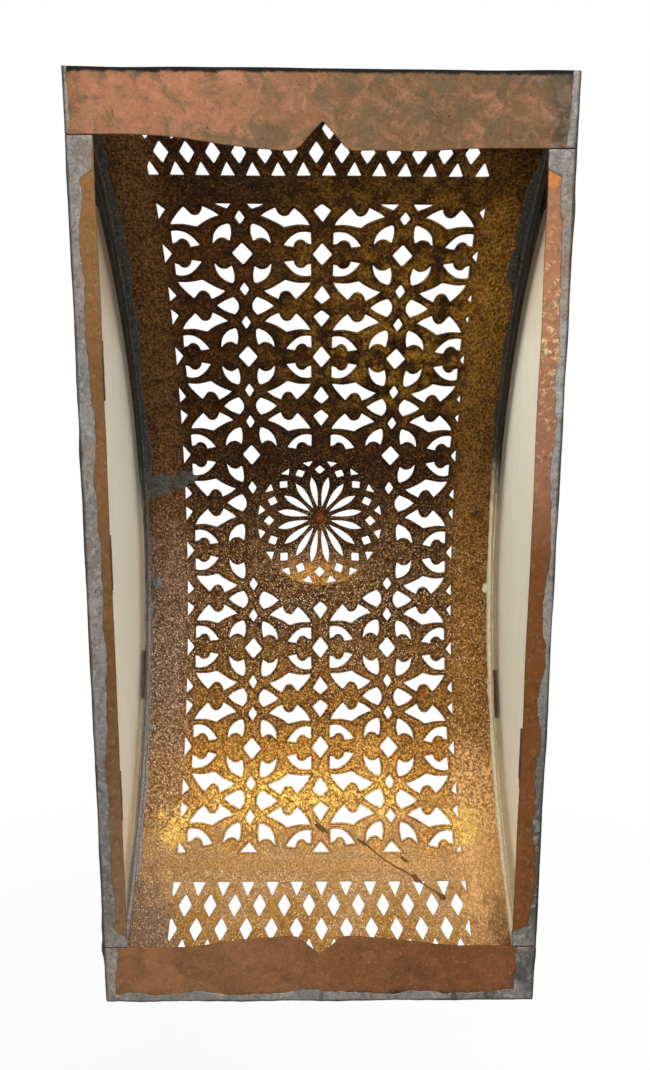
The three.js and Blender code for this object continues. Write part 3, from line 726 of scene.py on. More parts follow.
class Fret:
    """The pattern cut into the front sheet, as outlines across it and along it."""
    columns = 2
    rows = 6.5
    rosette_margin = 3 * MM

    # How far the fret was marked out to one side, and how much farther at an askew corner, across and
    # along, and that corner's place and reach
    slip = 0.5 * MM, 0.4 * MM
    askew_slip = 1.3 * MM, 1.6 * MM
    askew = (-66 * MM, 125 * MM), (46 * MM, 75 * MM)

    # The rows' waves across the sheet: a crest's place, their length and height, and the places along
    # the sheet between which they set in
    crest = 75 * MM
    crest_pitch = 97 * MM
    crest_height = 0.8 * MM
    waves_set_in = 40 * MM, -20 * MM

    def __init__(self, sizes):
        self.sizes = sizes
        arch = Arch(sizes)
        self.half = arch.wide - sizes.field_side
        self.top = arch.half - sizes.field_top
        self.bottom = sizes.field_bottom - arch.half
        self.across = self.half / self.columns
        self.along = (self.top - self.bottom) / self.rows

    def placed(self, shape, column, row, side, way):
        middle = self.top - (row + 0.5) * self.along
        points = [
            ((column + side * a) * self.across, middle + way * b * self.along / 2, soft)
            for a, b, soft in shape]
        outline = [self.by_hand(place) for place in drawn(points, self.sizes.corner)]
        outline = kept(outline, 0, self.half - self.sizes.field_lap, 1)
        outline = kept(outline, 0, self.sizes.field_lap - self.half, -1)
        outline = kept(outline, 1, self.top - self.sizes.field_top_lap, 1)
        return kept(outline, 1, self.bottom, -1)

    def by_hand(self, place):
        """Moves a point a little, as the fret was marked out and sawn by eye."""
        corner = math.exp(-sum(((at - spot) / reach) ** 2 for at, spot, reach in zip(place, *self.askew)))
        x, s = place
        lift = math.cos(2 * math.pi * (x - self.crest) / self.crest_pitch) * smooth(s, *self.waves_set_in)
        across, along = (-slip - more * corner for slip, more in zip(self.slip, self.askew_slip))
        slip = Vector((across, along + self.crest_height * lift))
        return place + slip + Vector([ripple((x, s, 0), seed, (9, 0.35)) for seed in (13, 29)])

    def openings(self):
        found = []
        for row in range(math.ceil(self.rows)):
            for column in range(-self.columns, self.columns + 1):
                found += self.in_column(column, row)
        clear = self.sizes.rosette + self.rosette_margin
        hub = Vector((0, self.sizes.rosette_rise))
        return [outline for outline in found if len(outline) > 2 and outside(outline, hub, clear)]

    def in_column(self, column, row):
        kites = column % 2 == 0
        found = [self.placed(WIDE_STAR if kites else TALL_STAR, column, row, 1, 1)]
        for way in (1, -1):
            if row + 1 > self.rows and way < 0:
                continue
            found.append(self.placed(KITE if kites else SMALL_DIAMOND, column, row, 1, way))
            if kites:
                continue
            for side in (-1, 1):
                for shape in (WING, CRESCENT, SHIELD):
                    found.append(self.placed(shape, column - side, row, side, way))
        if not kites:
            found += [self.placed(FISH, column, row - 0.5, side, 1) for side in (-1, 1)]
        return found


def outside(outline, hub, reach):
    """Whether all of an outline lies farther than reach from the hub."""
    return min((place - hub).length for place in outline) > reach


@dataclass
class Band:
    """Rows of diamonds and triangles across the sheet, from a base line towards one end."""

    # The rows go up from the base where way is 1, and down where it is -1. The first has one opening
    # more than count, pitch apart and shift off the middle. At the left end the rows drift outwards.
    # A closed band has a last row of triangles.
    base: float
    way: int
    count: int
    pitch: float
    shift: float
    closed: bool
    drift: float

    half_width = 3.7 * MM
    half_height = 6.3 * MM
    row_step = 12.6 * MM
    triangle = 8 * MM

    def openings(self, corner, reach):
        w, h, t = self.half_width, self.half_height, self.triangle
        diamond = ((w, 0, 0), (0, h, 0), (-w, 0, 0), (0, -h, 0))
        rising = ((-w, 0, 0), (w, 0, 0), (0, t, 0))
        falling = ((-w, 0, 0), (w, 0, 0), (0, -t, 0))
        found = []
        for i in range(self.count + 1):
            x = self.shift + (i - self.count / 2) * self.pitch
            found += [(rising, x, 0), (diamond, x, 2 * self.row_step)]
            if i < self.count:
                found.append((diamond, x + self.pitch / 2, self.row_step))
                if self.closed:
                    found.append((falling, x + self.pitch / 2, 3 * self.row_step))
        outlines = []
        for shape, x, y in found:
            x -= self.drift * smooth(-x, 50 * MM, 95 * MM)
            points = [(x + px, self.base + self.way * (y + py), soft) for px, py, soft in shape]
            outline = kept(drawn(points, corner), 0, reach, 1)
            outlines.append(kept(outline, 0, -reach, -1))
        return [outline for outline in outlines if len(outline) > 2]


# Meshes

# Vertices this close are one
TOUCHING = 0.001 * MM


def added(name, data):
    """A new object in the scene."""
    thing = bpy.data.objects.new(name, data)
    bpy.context.collection.objects.link(thing)
    return thing


def from_curve(name, outlines, **settings):
    """A bmesh of closed outlines, as a curve with these settings draws them."""
    curve = bpy.data.curves.new(name, "CURVE")
    for setting, value in settings.items():
        setattr(curve, setting, value)
    for outline in outlines:
        spline = curve.splines.new("POLY")
        spline.points.add(len(outline) - 1)
        for point, place in zip(spline.points, outline):
            point.co = (place[0], place[1], 0, 1)
        spline.use_cyclic_u = True
    drawing = added(name, curve)
    seen = drawing.evaluated_get(bpy.context.evaluated_depsgraph_get())
    drawing_mesh = bpy.data.meshes.new_from_object(seen)
    bm = bmesh.new()
    bm.from_mesh(drawing_mesh)
    bpy.data.objects.remove(drawing)
    bpy.data.curves.remove(curve)
    bpy.data.meshes.remove(drawing_mesh)
    bmesh.ops.remove_doubles(bm, verts=bm.verts, dist=TOUCHING)
    return bm


def flat_sheet(name, outlines, thickness, edge, rounds=0):
    """A flat sheet from z = 0 up, with its openings cut through and its edges softened."""
    bm = from_curve(
        name, outlines, dimensions="2D", fill_mode="BOTH", extrude=thickness / 2 - edge, bevel_depth=edge,
        bevel_resolution=rounds, offset=-edge)
    if len(outlines) == 1:
        bmesh.ops.dissolve_limit(bm, angle_limit=math.radians(0.5), verts=bm.verts, edges=bm.edges)
    bmesh.ops.translate(bm, vec=(0, 0, thickness / 2), verts=bm.verts)
    return bm


def flat_wires(name, outlines, width):
    """Closed wires along outlines, round the plane z = 0."""
    return from_curve(name, outlines, dimensions="3D", bevel_depth=width / 2, bevel_resolution=0)


def slice_up(bm, step, *sides):
    """Cuts the mesh at every step along each of some axes, so that it can be bent."""
    for side in sides:
        places = [vert.co[side] for vert in bm.verts]
        low, high = min(places), max(places)
        count = max(1, round((high - low) / step))
        halve(bm, bm.faces[:], side, [low + (high - low) * i / count for i in range(1, count)])


def halve(bm, faces, side, cuts):
    """Cuts the faces at the middle one of the cuts, and each half at the cuts on its own side."""
    if not cuts or not faces:
        return
    middle = len(cuts) // 2
    place, normal = Vector(), Vector()
    place[side], normal[side] = cuts[middle], 1
    edges = {edge for face in faces for edge in face.edges}
    verts = {vert for face in faces for vert in face.verts}
    cut = bmesh.ops.bisect_plane(
        bm, geom=[*faces, *edges, *verts], plane_co=place, plane_no=normal, dist=TOUCHING / 10)
    pieces = [part for part in cut["geom"] if isinstance(part, bmesh.types.BMFace)]
    lower = [face for face in pieces if face.calc_center_median()[side] < cuts[middle]]
    upper = [face for face in pieces if face.calc_center_median()[side] >= cuts[middle]]
    halve(bm, lower, side, cuts[:middle])
    halve(bm, upper, side, cuts[middle + 1:])


def settle(name, bm, bend, painter, slot, *nodes, sharp=30):
    """Bends a bmesh into place and turns it into a finished piece that rides on the sconce."""
    for vert in bm.verts:
        vert.co = bend(*vert.co)
    bmesh.ops.remove_doubles(bm, verts=bm.verts, dist=2 * TOUCHING)
    bmesh.ops.dissolve_degenerate(bm, dist=20 * TOUCHING, edges=bm.edges)
    bmesh.ops.recalc_face_normals(bm, faces=bm.faces)
    for face in bm.faces:
        face.smooth = True
    for edge in bm.edges:
        edge.smooth = edge.calc_face_angle(0) < math.radians(sharp)
    piece = added(name, mesh_of(name, bm, finish_of(painter)))
    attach(piece, "root")
    if nodes:
        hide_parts(*nodes)


def mesh_of(name, bm, material):
    mesh = bpy.data.meshes.new(name)
    bm.to_mesh(mesh)
    bm.free()
    mesh.materials.append(material)
    return mesh


def softened(node, width):
    """A copy of a CAD node's mesh, merged, with its edges rounded off."""
    bm = bmesh.new()
    bm.from_mesh(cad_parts[node].data)
    bmesh.ops.remove_doubles(bm, verts=bm.verts, dist=TOUCHING)
    bmesh.ops.dissolve_limit(bm, angle_limit=math.radians(1), verts=bm.verts, edges=bm.edges)
    bmesh.ops.bevel(
        bm, geom=bm.edges[:], offset=width, offset_type="OFFSET", segments=2, profile=0.5, affect="EDGES",
        material=-1)
    return bm


# Operators

def coarse(step):
    return step * 1


class SCONCE_OT_front_sheet(bpy.types.Operator):
    """Adds the bowed, pierced front sheet with the chased lines round its openings"""
    bl_idname = "sconce.front_sheet"
    bl_label = "Front Sheet"
    bl_options = {"REGISTER", "UNDO"}

    # How far the chased lines stand out, as a share of their width
    proud = 0.7

    def execute(self, context):
        sizes = context.scene.sconce_sizes
        arch, fret = Arch(sizes), Fret(sizes)
        self.sheet(sizes, arch, fret)
        self.chased_lines(sizes, arch, fret)
        return {"FINISHED"}

    def sheet(self, sizes, arch, fret):
        border = rectangle(Vector((arch.wide, arch.half - sizes.sheet_end)))
        hub = circle((0, sizes.rosette_rise), sizes.rosette, RIM_STEPS)
        bands = (
            Band(base=fret.top + sizes.top_band_gap, way=1, count=13, pitch=sizes.top_band_pitch,
                 shift=2.6 * MM, closed=False, drift=1.8 * MM),
            Band(base=fret.bottom - sizes.bottom_band_gap, way=-1, count=12, pitch=sizes.bottom_band_pitch,
                 shift=-0.9 * MM, closed=True, drift=0),
        )
        rows = [opening for band in bands for opening in band.openings(sizes.corner, fret.half)]
        bm = flat_sheet("front_sheet", [border, hub, *fret.openings(), *rows], sizes.sheet, sizes.edge)
        step = coarse(sizes.step)
        slice_up(bm, 2 * step, 0)
        slice_up(bm, step, 1)
        settle("front_sheet", bm, arch.beaten, aged_brass, "aged_brass", "front_panel")

    def chased_lines(self, sizes, arch, fret):
        lines = [widened(outline, sizes.line_inset) for outline in fret.openings()]
        for name, depth in (("chased_lines_inside", 0), ("chased_lines_outside", sizes.sheet)):

            def place(x, y, z):
                return arch.beaten(x, y, z * self.proud + depth)

            bm = flat_wires(name, lines, sizes.line_width)
            settle(name, bm, place, chased_brass, "aged_brass", sharp=180)


class SCONCE_OT_ring_chain(bpy.types.Operator):
    """Adds the row of stamped rings under the fret, and the long scratch across it"""
    bl_idname = "sconce.ring_chain"
    bl_label = "Ring Chain"
    bl_options = {"REGISTER", "UNDO"}

    # How deep the rings are worn at their left end, how far they stand out as a share of their line's
    # width, and the sides that stand for a ring and for the smaller one inside it
    worn = 0.25 * MM
    proud = 0.6
    ring_sides = 16, 10

    scratch_ends = Vector((-21.8, -183.6)) * MM, Vector((-71.6, -216.4)) * MM
    scratch_width = 0.9 * MM
    scratch_steps = 50
    scratch_height = 0.24 * MM
    scratch_facet = 3 * MM

    # Blots on the scratch, as share of its length, reach as a share, and added half width
    blots = ((0.08, 0.05, 0.4 * MM), (0.66, 0.05, 1.1 * MM), (0.96, 0.04, 1.1 * MM))

    # Smudges beside the scratch, as middle, half width and half height, and how far they lean
    smudges = (
        (Vector((-0.4, -177)) * MM, 2.4 * MM, 3.8 * MM),
        (Vector((-48.8, -194.9)) * MM, 1.5 * MM, 2.4 * MM),
    )
    lean = 0.7
    smudge_sides = 28

    def execute(self, context):
        sizes = context.scene.sconce_sizes
        arch = Arch(sizes)
        self.rings(sizes, arch)
        self.scratch(arch)
        return {"FINISHED"}

    def rings(self, sizes, arch):
        fret = Fret(sizes)
        row = fret.bottom - sizes.ring_row
        count = round(2 * fret.half / sizes.ring_pitch)
        rings = []
        for i in range(count + 1):
            middle = ((i - count / 2) * sizes.ring_pitch, row)
            for radius, sides in zip((sizes.ring / 2, sizes.ring / 5), self.ring_sides):
                rings.append(circle(middle, radius, sides))

        def place(x, y, z):
            return arch.beaten(x, y, z * self.proud + self.worn * min(1.0, max(0.0, 0.1 - x / fret.half)))

        bm = flat_wires("stamped_rings", rings, sizes.ring_line)
        settle("stamped_rings", bm, place, ring_brass, "aged_brass", sharp=180)

    def scratch(self, arch):
        """A dark, ragged scratch with blots on it and smudges beside it."""
        start, end = self.scratch_ends
        way = (end - start).normalized()
        across = Vector((-way.y, way.x))
        edges = [], []
        for i in range(self.scratch_steps + 1):
            share = i / self.scratch_steps
            middle = start.lerp(end, share)
            middle += across * ripple((*middle, 0), 8, (14, 1.2))
            blot = sum(math.exp(-((share - at) / reach) ** 2) * more for at, reach, more in self.blots)
            for edge, turn in zip(edges, (1, -1)):
                ragged = 1 + wave((*middle, 0), 2.2 * MM, 0.9, 8 + turn)
                edge.append(middle + across * turn * (self.scratch_width / 2 + blot) * ragged)
        outlines = [edges[0] + edges[1][::-1]]
        for middle, wide, high in self.smudges:
            outlines.append([])
            for x, y in circle((0, 0), 1, self.smudge_sides):
                ragged = 1 + wave((x, y, 0), 0.6, 0.7, 8)
                place = Vector((x * wide + y * high * self.lean, y * high))
                outlines[-1].append(middle + place * ragged)

        def place(x, y, z):
            return arch.beaten(x, y, self.scratch_height / 2 - z)

        bm = flat_sheet("scratch", outlines, self.scratch_height, self.scratch_height / 4)
        slice_up(bm, self.scratch_facet, 1)
        settle("scratch", bm, place, chased_brass, "aged_brass", sharp=75)


class SCONCE_OT_rosette(bpy.types.Operator):
    """Adds the domed rosette and its rivet"""
    bl_idname = "sconce.rosette"
    bl_label = "Rosette"
    bl_options = {"REGISTER", "UNDO"}

    petals = 16

    # The play between the rosette and what it touches
    air = 0.3 * MM

    # The rivet: radius of its shank and heads, a head's height, and its sides
    shank = 1.6 * MM
    head = 3.3 * MM
    head_height = 1.3 * MM
    rivet_sides = 32

    # A head's profile, as radius and share of its height
    profile = ((shank, 0), (head, 0), (head * 0.91, 0.31), (shank, 0.85), (0, 1))

    def execute(self, context):
        sizes = context.scene.sconce_sizes
        arch = Arch(sizes)
        seat = sizes.sheet + self.air
        self.dome(sizes, arch, seat)
        self.rivet(sizes, arch, seat + sizes.rosette_dome)
        return {"FINISHED"}

    def dome(self, sizes, arch, seat):
        holes = [circle((0, 0), self.shank + self.air, 12)]
        for i in range(self.petals):
            for shape, shift in ((PETAL, 0.5), (SQUARE, 0), (TRIANGLE, 0.5)):
                turn = Matrix.Rotation(2 * math.pi * (i + shift) / self.petals, 2)
                points = [(*(turn @ Vector((x, y)) * MM), soft) for x, y, soft in shape]
                holes.append(drawn(points, sizes.fine_corner))
        rim = circle((0, 0), sizes.rosette + sizes.rosette_rim, RIM_STEPS)
        bm = flat_sheet("rosette", [rim, *holes], sizes.rosette_sheet, sizes.edge)
        slice_up(bm, coarse(sizes.rosette_step), 0, 1)
        ball = (sizes.rosette ** 2 + sizes.rosette_dome ** 2) / (2 * sizes.rosette_dome)

        def place(x, y, z):
            radius = min(math.hypot(x, y), sizes.rosette)
            dome = math.sqrt(ball ** 2 - radius ** 2) - ball + sizes.rosette_dome
            return arch.bend(x, y + sizes.rosette_rise, seat + dome + z + ripple((x, y, 0), 5, (11, 0.25)))

        settle("rosette", bm, place, rosette_brass, "rosette_brass", "rosette_boss")

    def rivet(self, sizes, arch, height):
        """A shank with a flat round head on either side, from half of its outline."""
        low, high = (
            [(radius, face + way * self.head_height * share) for radius, share in self.profile]
            for face, way in ((height - self.air, -1), (height + sizes.rosette_sheet + self.air, 1)))
        bm = bmesh.new()
        verts = [bm.verts.new((radius, 0, z)) for radius, z in low[::-1] + high]
        edges = [bm.edges.new(pair) for pair in zip(verts, verts[1:])]
        bmesh.ops.spin(
            bm, geom=verts + edges, cent=(0, 0, 0), axis=(0, 0, 1), angle=2 * math.pi,
            steps=self.rivet_sides, use_merge=True)

        def place(x, y, z):
            return arch.bend(x, y + sizes.rosette_rise, z)

        settle("rosette_rivet_head", bm, place, rusty_copper, "rusty_copper", "rosette_rivet", sharp=60)


class SCONCE_OT_wall_frame(bpy.types.Operator):
    """Adds the four copper strips that lie against the wall"""
    bl_idname = "sconce.wall_frame"
    bl_label = "Wall Frame"
    bl_options = {"REGISTER", "UNDO"}

    facet = 7 * MM
    edge = 0.2 * MM

    def execute(self, context):
        corner = context.scene.sconce_sizes.fine_corner
        top = self.ogee("top_strip", way=1, right=28, left=32.5, lobe=33.5, cusp=21.5)
        self.strip("top_strip", drawn(top, corner), salmon_copper, "copper")
        bottom = self.ogee("bottom_strip", way=-1, right=31.5, left=31.5, lobe=37, cusp=26.5)
        self.strip("bottom_strip", drawn(bottom, corner), umber_copper, "dark_copper")
        for name in ("right_strip", "left_strip"):
            low, high = (corner.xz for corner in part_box(name))
            self.strip(name, rectangle((high - low) / 2, (low + high) / 2), side_copper, "copper")
        return {"FINISHED"}

    @staticmethod
    def ogee(name, way, right, left, lobe, cusp):
        """A strip's outline, with two lobes and a cusp between them. Its heights are millimetres."""
        low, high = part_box(name)
        half = high.x / MM
        outer = high.z if way > 0 else low.z

        def arm(end):
            """Half of the inner edge, from its end to beside the cusp: across, height and softness."""
            return (
                (half, end, 0), (72, end, 1), (44, (end + lobe) / 2 + 0.8, 1), (22, lobe, 1),
                (12, lobe - 0.2, 1), (6, (lobe + cusp) / 2, 1))

        mirrored = [(-x, y, soft) for x, y, soft in reversed(arm(left))]
        points = ((half, 0, 0), *arm(right), (0, cusp, 0), *mirrored, (-half, 0, 0))
        return [(x * MM, outer - way * y * MM, soft) for x, y, soft in points]

    def strip(self, name, outline, painter, slot):
        low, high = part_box(name)
        bm = flat_sheet(name, [outline], high.y - low.y, self.edge)
        slice_up(bm, self.facet, 0, 1)
        settle(f"{name}_copper", bm, on_frame, painter, slot, name)


class SCONCE_OT_frame_solder(bpy.types.Operator):
    """Adds the solder that has run over the frame's outer edges and corners, and the dark fills of painted
    shade in its joints
    """
    bl_idname = "sconce.frame_solder"
    bl_label = "Frame Solder"
    bl_options = {"REGISTER", "UNDO"}

    # How far the solder stands out past the strips, the steps of its wavy side, its facets and its edge
    proud = 0.4 * MM
    step = 1.6 * MM
    facet = 2.2 * MM
    edge = 0.35 * MM

    # The least and the most of its width, how far a corner's solder laps over the edge's, and the widths
    # along the strips
    narrowest = 1.2 * MM
    widest = 12.3 * MM
    lap = 0.8 * MM
    top_width = {"right": 1.6 * MM, "left": 4.2 * MM}
    side_width = {"right": 6.2 * MM, "left": 3.8 * MM}
    bottom_width = {"right": 5.8 * MM, "left": 10 * MM}
    foot_width = 4.6 * MM

    # From the middle to where the solder begins to cover the side strip, at its bottom and its top,
    # how soon it covers it, and its width there
    covered = {"right": (189.5 * MM, 184 * MM), "left": (186.5 * MM, 186 * MM)}
    cover_ramp = 4.5 * MM
    cover_width = 12.6 * MM

    # How much narrower the solder is below the top of the right strip
    neck = 2.8 * MM

    # Lumps on the outer edge, as side, and height, reach and rise in millimetres
    lumps = ((1, -200, 5, 1.3), (1, -188, 7, 0.6), (-1, -204, 6, 0.5), (1, 62, 8, 0.5), (-1, 172, 7, 0.5))

    # The dark fill of painted shade in a joint: from the joint to its middle, its outer and inner ends from
    # the frame's edge, half its height at each end, how far from the wall it begins, and its thickness
    crack_shade_shift = 0.25 * MM
    crack_shade_ends = 0.35 * MM, -11.8 * MM
    crack_shade_heights = 0.6 * MM, 0.5 * MM
    crack_shade_depth = 0.15 * MM
    crack_shade_thickness = 0.9 * MM
    crack_shade_edge = 0.1 * MM
    crack_shade_step = 1.5 * MM

    def execute(self, context):
        wide, _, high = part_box("top_strip")[1]
        for name, side, seed in (("right", 1, 11), ("left", -1, 23)):
            low_joint, high_joint = (corner.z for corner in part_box(f"{name}_strip"))
            spans = (
                ("top_corner", high_joint + self.lap, high, lambda z: self.top_width[name]),
                ("bottom_corner", -high, low_joint - self.lap, lambda z: self.bottom_width[name]),
                ("edge", low_joint, high_joint, lambda z: self.side_reach(name, z)),
            )
            for part, start, end, width in spans:
                rail = [Vector((side * wide, z)) for z in self.steps(start, end)]
                widths = [width(place.y) for place in rail]
                self.flow(f"{name}_{part}_solder", rail, Vector((-side, 0)), widths, seed)
            for part, joint, way in (("top", high_joint, 1), ("bottom", low_joint, -1)):
                self.crack_shade(f"{name}_{part}_joint_crack_shade", side, wide, joint + way * self.crack_shade_shift)
        rail = [Vector((x, -high)) for x in self.steps(wide, -wide)]
        self.flow("bottom_edge_solder", rail, Vector((0, 1)), [self.foot_width] * len(rail), 37)
        return {"FINISHED"}

    def steps(self, start, end):
        count = round(abs(end - start) / self.step)
        return [start + (end - start) * i / count for i in range(count + 1)]

    def side_reach(self, name, z):
        """The solder covers the side strip's ends, and is narrow below the right strip's top."""
        body = self.side_width[name]
        start = self.covered[name][1 if z > 0 else 0]
        ends = smooth(abs(z), start, start + self.cover_ramp)
        neck = smooth(z, 80 * MM, 140 * MM) * (1 - smooth(z, 150 * MM, 180 * MM))
        return body - (self.neck * neck if name == "right" else 0) + ends * (self.cover_width - body)

    def lump(self, place, inward):
        """How far the solder stands out past the frame's outer edge."""
        return sum(
            rise * MM * math.exp(-((place.y / MM - height) / reach) ** 2)
            for side, height, reach, rise in self.lumps if side == -inward.x
        )

    def flow(self, name, rail, inward, widths, seed):
        """A tongue of solder along a rail, with a wavy inner side."""
        inner = []
        for place, width in zip(rail, widths):
            reach = max(self.narrowest, width + ripple((*place, 0), seed, (24, 3.4), (5, 0.9)))
            inner.append(place + inward * (min(reach, self.widest) if inward.x else reach))
        outer = [place - inward * (self.proud + self.lump(place, inward)) for place in rail]
        low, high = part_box("top_strip")
        thickness = high.y - low.y + 2 * self.proud
        bm = flat_sheet(name, [outer + inner[::-1]], thickness, self.edge, 1)
        slice_up(bm, self.facet, 0, 1)

        def place_solder(x, z, out):
            lump = ripple((x, z, 0), seed, (4.5, 0.5), (14, 0.35)) * 0.7
            return on_frame(x, z, out - self.proud + (-lump if out < thickness / 2 else lump))

        settle(name, bm, place_solder, solder, "solder", sharp=60)

    def crack_shade(self, name, side, wide, joint):
        """Painted shade: a dark fill in a joint, standing in for the shade in its crack."""
        near, far = (side * (wide + end) for end in self.crack_shade_ends)
        thick, thin = self.crack_shade_heights
        corners = ((near, -thick), (near, thick), (far, thin), (far, -thin))
        outline = [Vector((x, joint + z)) for x, z in corners]
        bm = flat_sheet(name, [outline], self.crack_shade_thickness, self.crack_shade_edge)
        slice_up(bm, self.crack_shade_step, 0)

        def place(x, z, out):
            return on_frame(x, z, out + self.crack_shade_depth) + Vector((0, 0, ripple((x, 0, 0), 0, (3, 0.5))))

        settle(name, bm, place, joint_crack_shade, "solder")


class SCONCE_OT_sides(bpy.types.Operator):
    """Adds the flat sides with their glass"""
    bl_idname = "sconce.sides"
    bl_label = "Sides"
    bl_options = {"REGISTER", "UNDO"}

    # The play between the pieces, their edges, the facets of the plates, and the steps of a curved edge
    air = 0.3 * MM
    edge = 0.15 * MM
    glass_edge = 0.3 * MM
    facet = 8 * MM
    turns = 72

    def execute(self, context):
        sizes = context.scene.sconce_sizes
        arch = Arch(sizes)
        outer, inner = arch.radius - self.air, arch.radius - sizes.side_rim
        for name, side in (("right", 1), ("left", -1)):
            rim, foot = f"{name}_side_rim", f"{name}_side_foot"
            wall = arch.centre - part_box(rim)[1].y
            arcs = [self.bow(arch, radius, math.acos(wall / radius)) for radius in (outer, inner)]
            self.plate(rim, arcs[0] + arcs[1][::-1], side)
            front, back = (-corner.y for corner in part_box(foot))
            front_tip, back_tip = (
                math.sqrt((inner - self.air) ** 2 - (arch.centre + depth) ** 2) for depth in (front, back))
            corners = ((back, -back_tip), (front, -front_tip), (front, front_tip), (back, back_tip))
            self.plate(foot, [Vector(corner) for corner in corners], side)
            self.pane(f"{name}_glass_pane", sizes, arch, side)
        return {"FINISHED"}

    def bow(self, arch, radius, turn):
        """Points of an arc about the sheet's centre, to an angle of turn on either side of the middle."""
        angles = (turn * (2 * i / self.turns - 1) for i in range(self.turns + 1))
        return [Vector((radius * math.cos(a) - arch.centre, radius * math.sin(a))) for a in angles]

    def plate(self, name, outline, side):
        low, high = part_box(name)
        bm = flat_sheet(name, [outline], high.x - low.x, self.edge)
        slice_up(bm, self.facet, 1)
        settle(f"{name}_sheet", bm, self.standing(name, side), tinned_brass, "tinned_brass", name)

    def pane(self, name, sizes, arch, side):
        low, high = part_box(name)
        radius, reach = arch.radius - sizes.glass_inset, sizes.glass_reach
        outline = self.bow(arch, radius, math.asin(reach / radius))
        outline += [Vector((-high.y, reach)), Vector((-high.y, -reach))]
        bm = flat_sheet(name, [outline], high.x - low.x, self.glass_edge)
        settle(f"{name}_glass", bm, self.standing(name, side), milk_glass, "milk_glass", name)

    @staticmethod
    def standing(name, side):
        """Stands a flat outline, given by its depth from the wall and its height, up in its node's place."""
        near = min(abs(corner.x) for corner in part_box(name))
        return lambda depth, z, x: (side * (near + x), -depth, z)


class SCONCE_OT_seams(bpy.types.Operator):
    """Adds the lumpy solder in the corners between the front sheet and the sides"""
    bl_idname = "sconce.seams"
    bl_label = "Seams"
    bl_options = {"REGISTER", "UNDO"}

    # How far the bead stops short of the sheet's ends, how far it lies in the corner, as a share of its
    # thickness, and how thin it may get
    short = 9 * MM
    sunk = 0.2
    thinnest = 0.45
    steps = 160
    segments = 10

    def execute(self, context):
        sizes = context.scene.sconce_sizes
        for name, side, seed in (("right_seam_solder", 1, 51), ("left_seam_solder", -1, 67)):
            self.bead(name, side, seed, sizes, Arch(sizes))
        return {"FINISHED"}

    def bead(self, name, side, seed, sizes, arch):
        sunk = sizes.seam * self.sunk
        spine = arch.radius - sunk
        across = side * (seam_corner(name) - sunk)
        turn = (arch.half - self.short) / arch.radius
        centre = (0, arch.centre, 0)
        bm = bmesh.new()
        bmesh.ops.create_circle(
            bm, cap_ends=True, cap_tris=False, segments=self.segments, radius=sizes.seam / 2,
            matrix=Matrix.Translation((across, arch.centre - spine, 0)))
        bmesh.ops.rotate(bm, verts=bm.verts, cent=centre, matrix=Matrix.Rotation(turn, 3, "X"))
        bmesh.ops.spin(
            bm, geom=bm.faces[:], cent=centre, axis=(1, 0, 0), angle=-2 * turn, steps=self.steps,
            use_merge=False)

        def place(x, y, z):
            angle = math.atan2(z, arch.centre - y)
            heart = Vector((across, arch.centre - spine * math.cos(angle), spine * math.sin(angle)))
            here = Vector((x, y, z))
            along = angle * arch.radius
            swell = 1 + wave((along, 0, 0), 16 * MM, 0.55, seed) + wave((along, side, 0), 5 * MM, 0.25, seed)
            return heart + (here - heart) * (max(self.thinnest, swell) + wave(here, 2.5 * MM, 0.3, seed))

        settle(f"{name}_bead", bm, place, seam_solder, "solder", name, sharp=75)


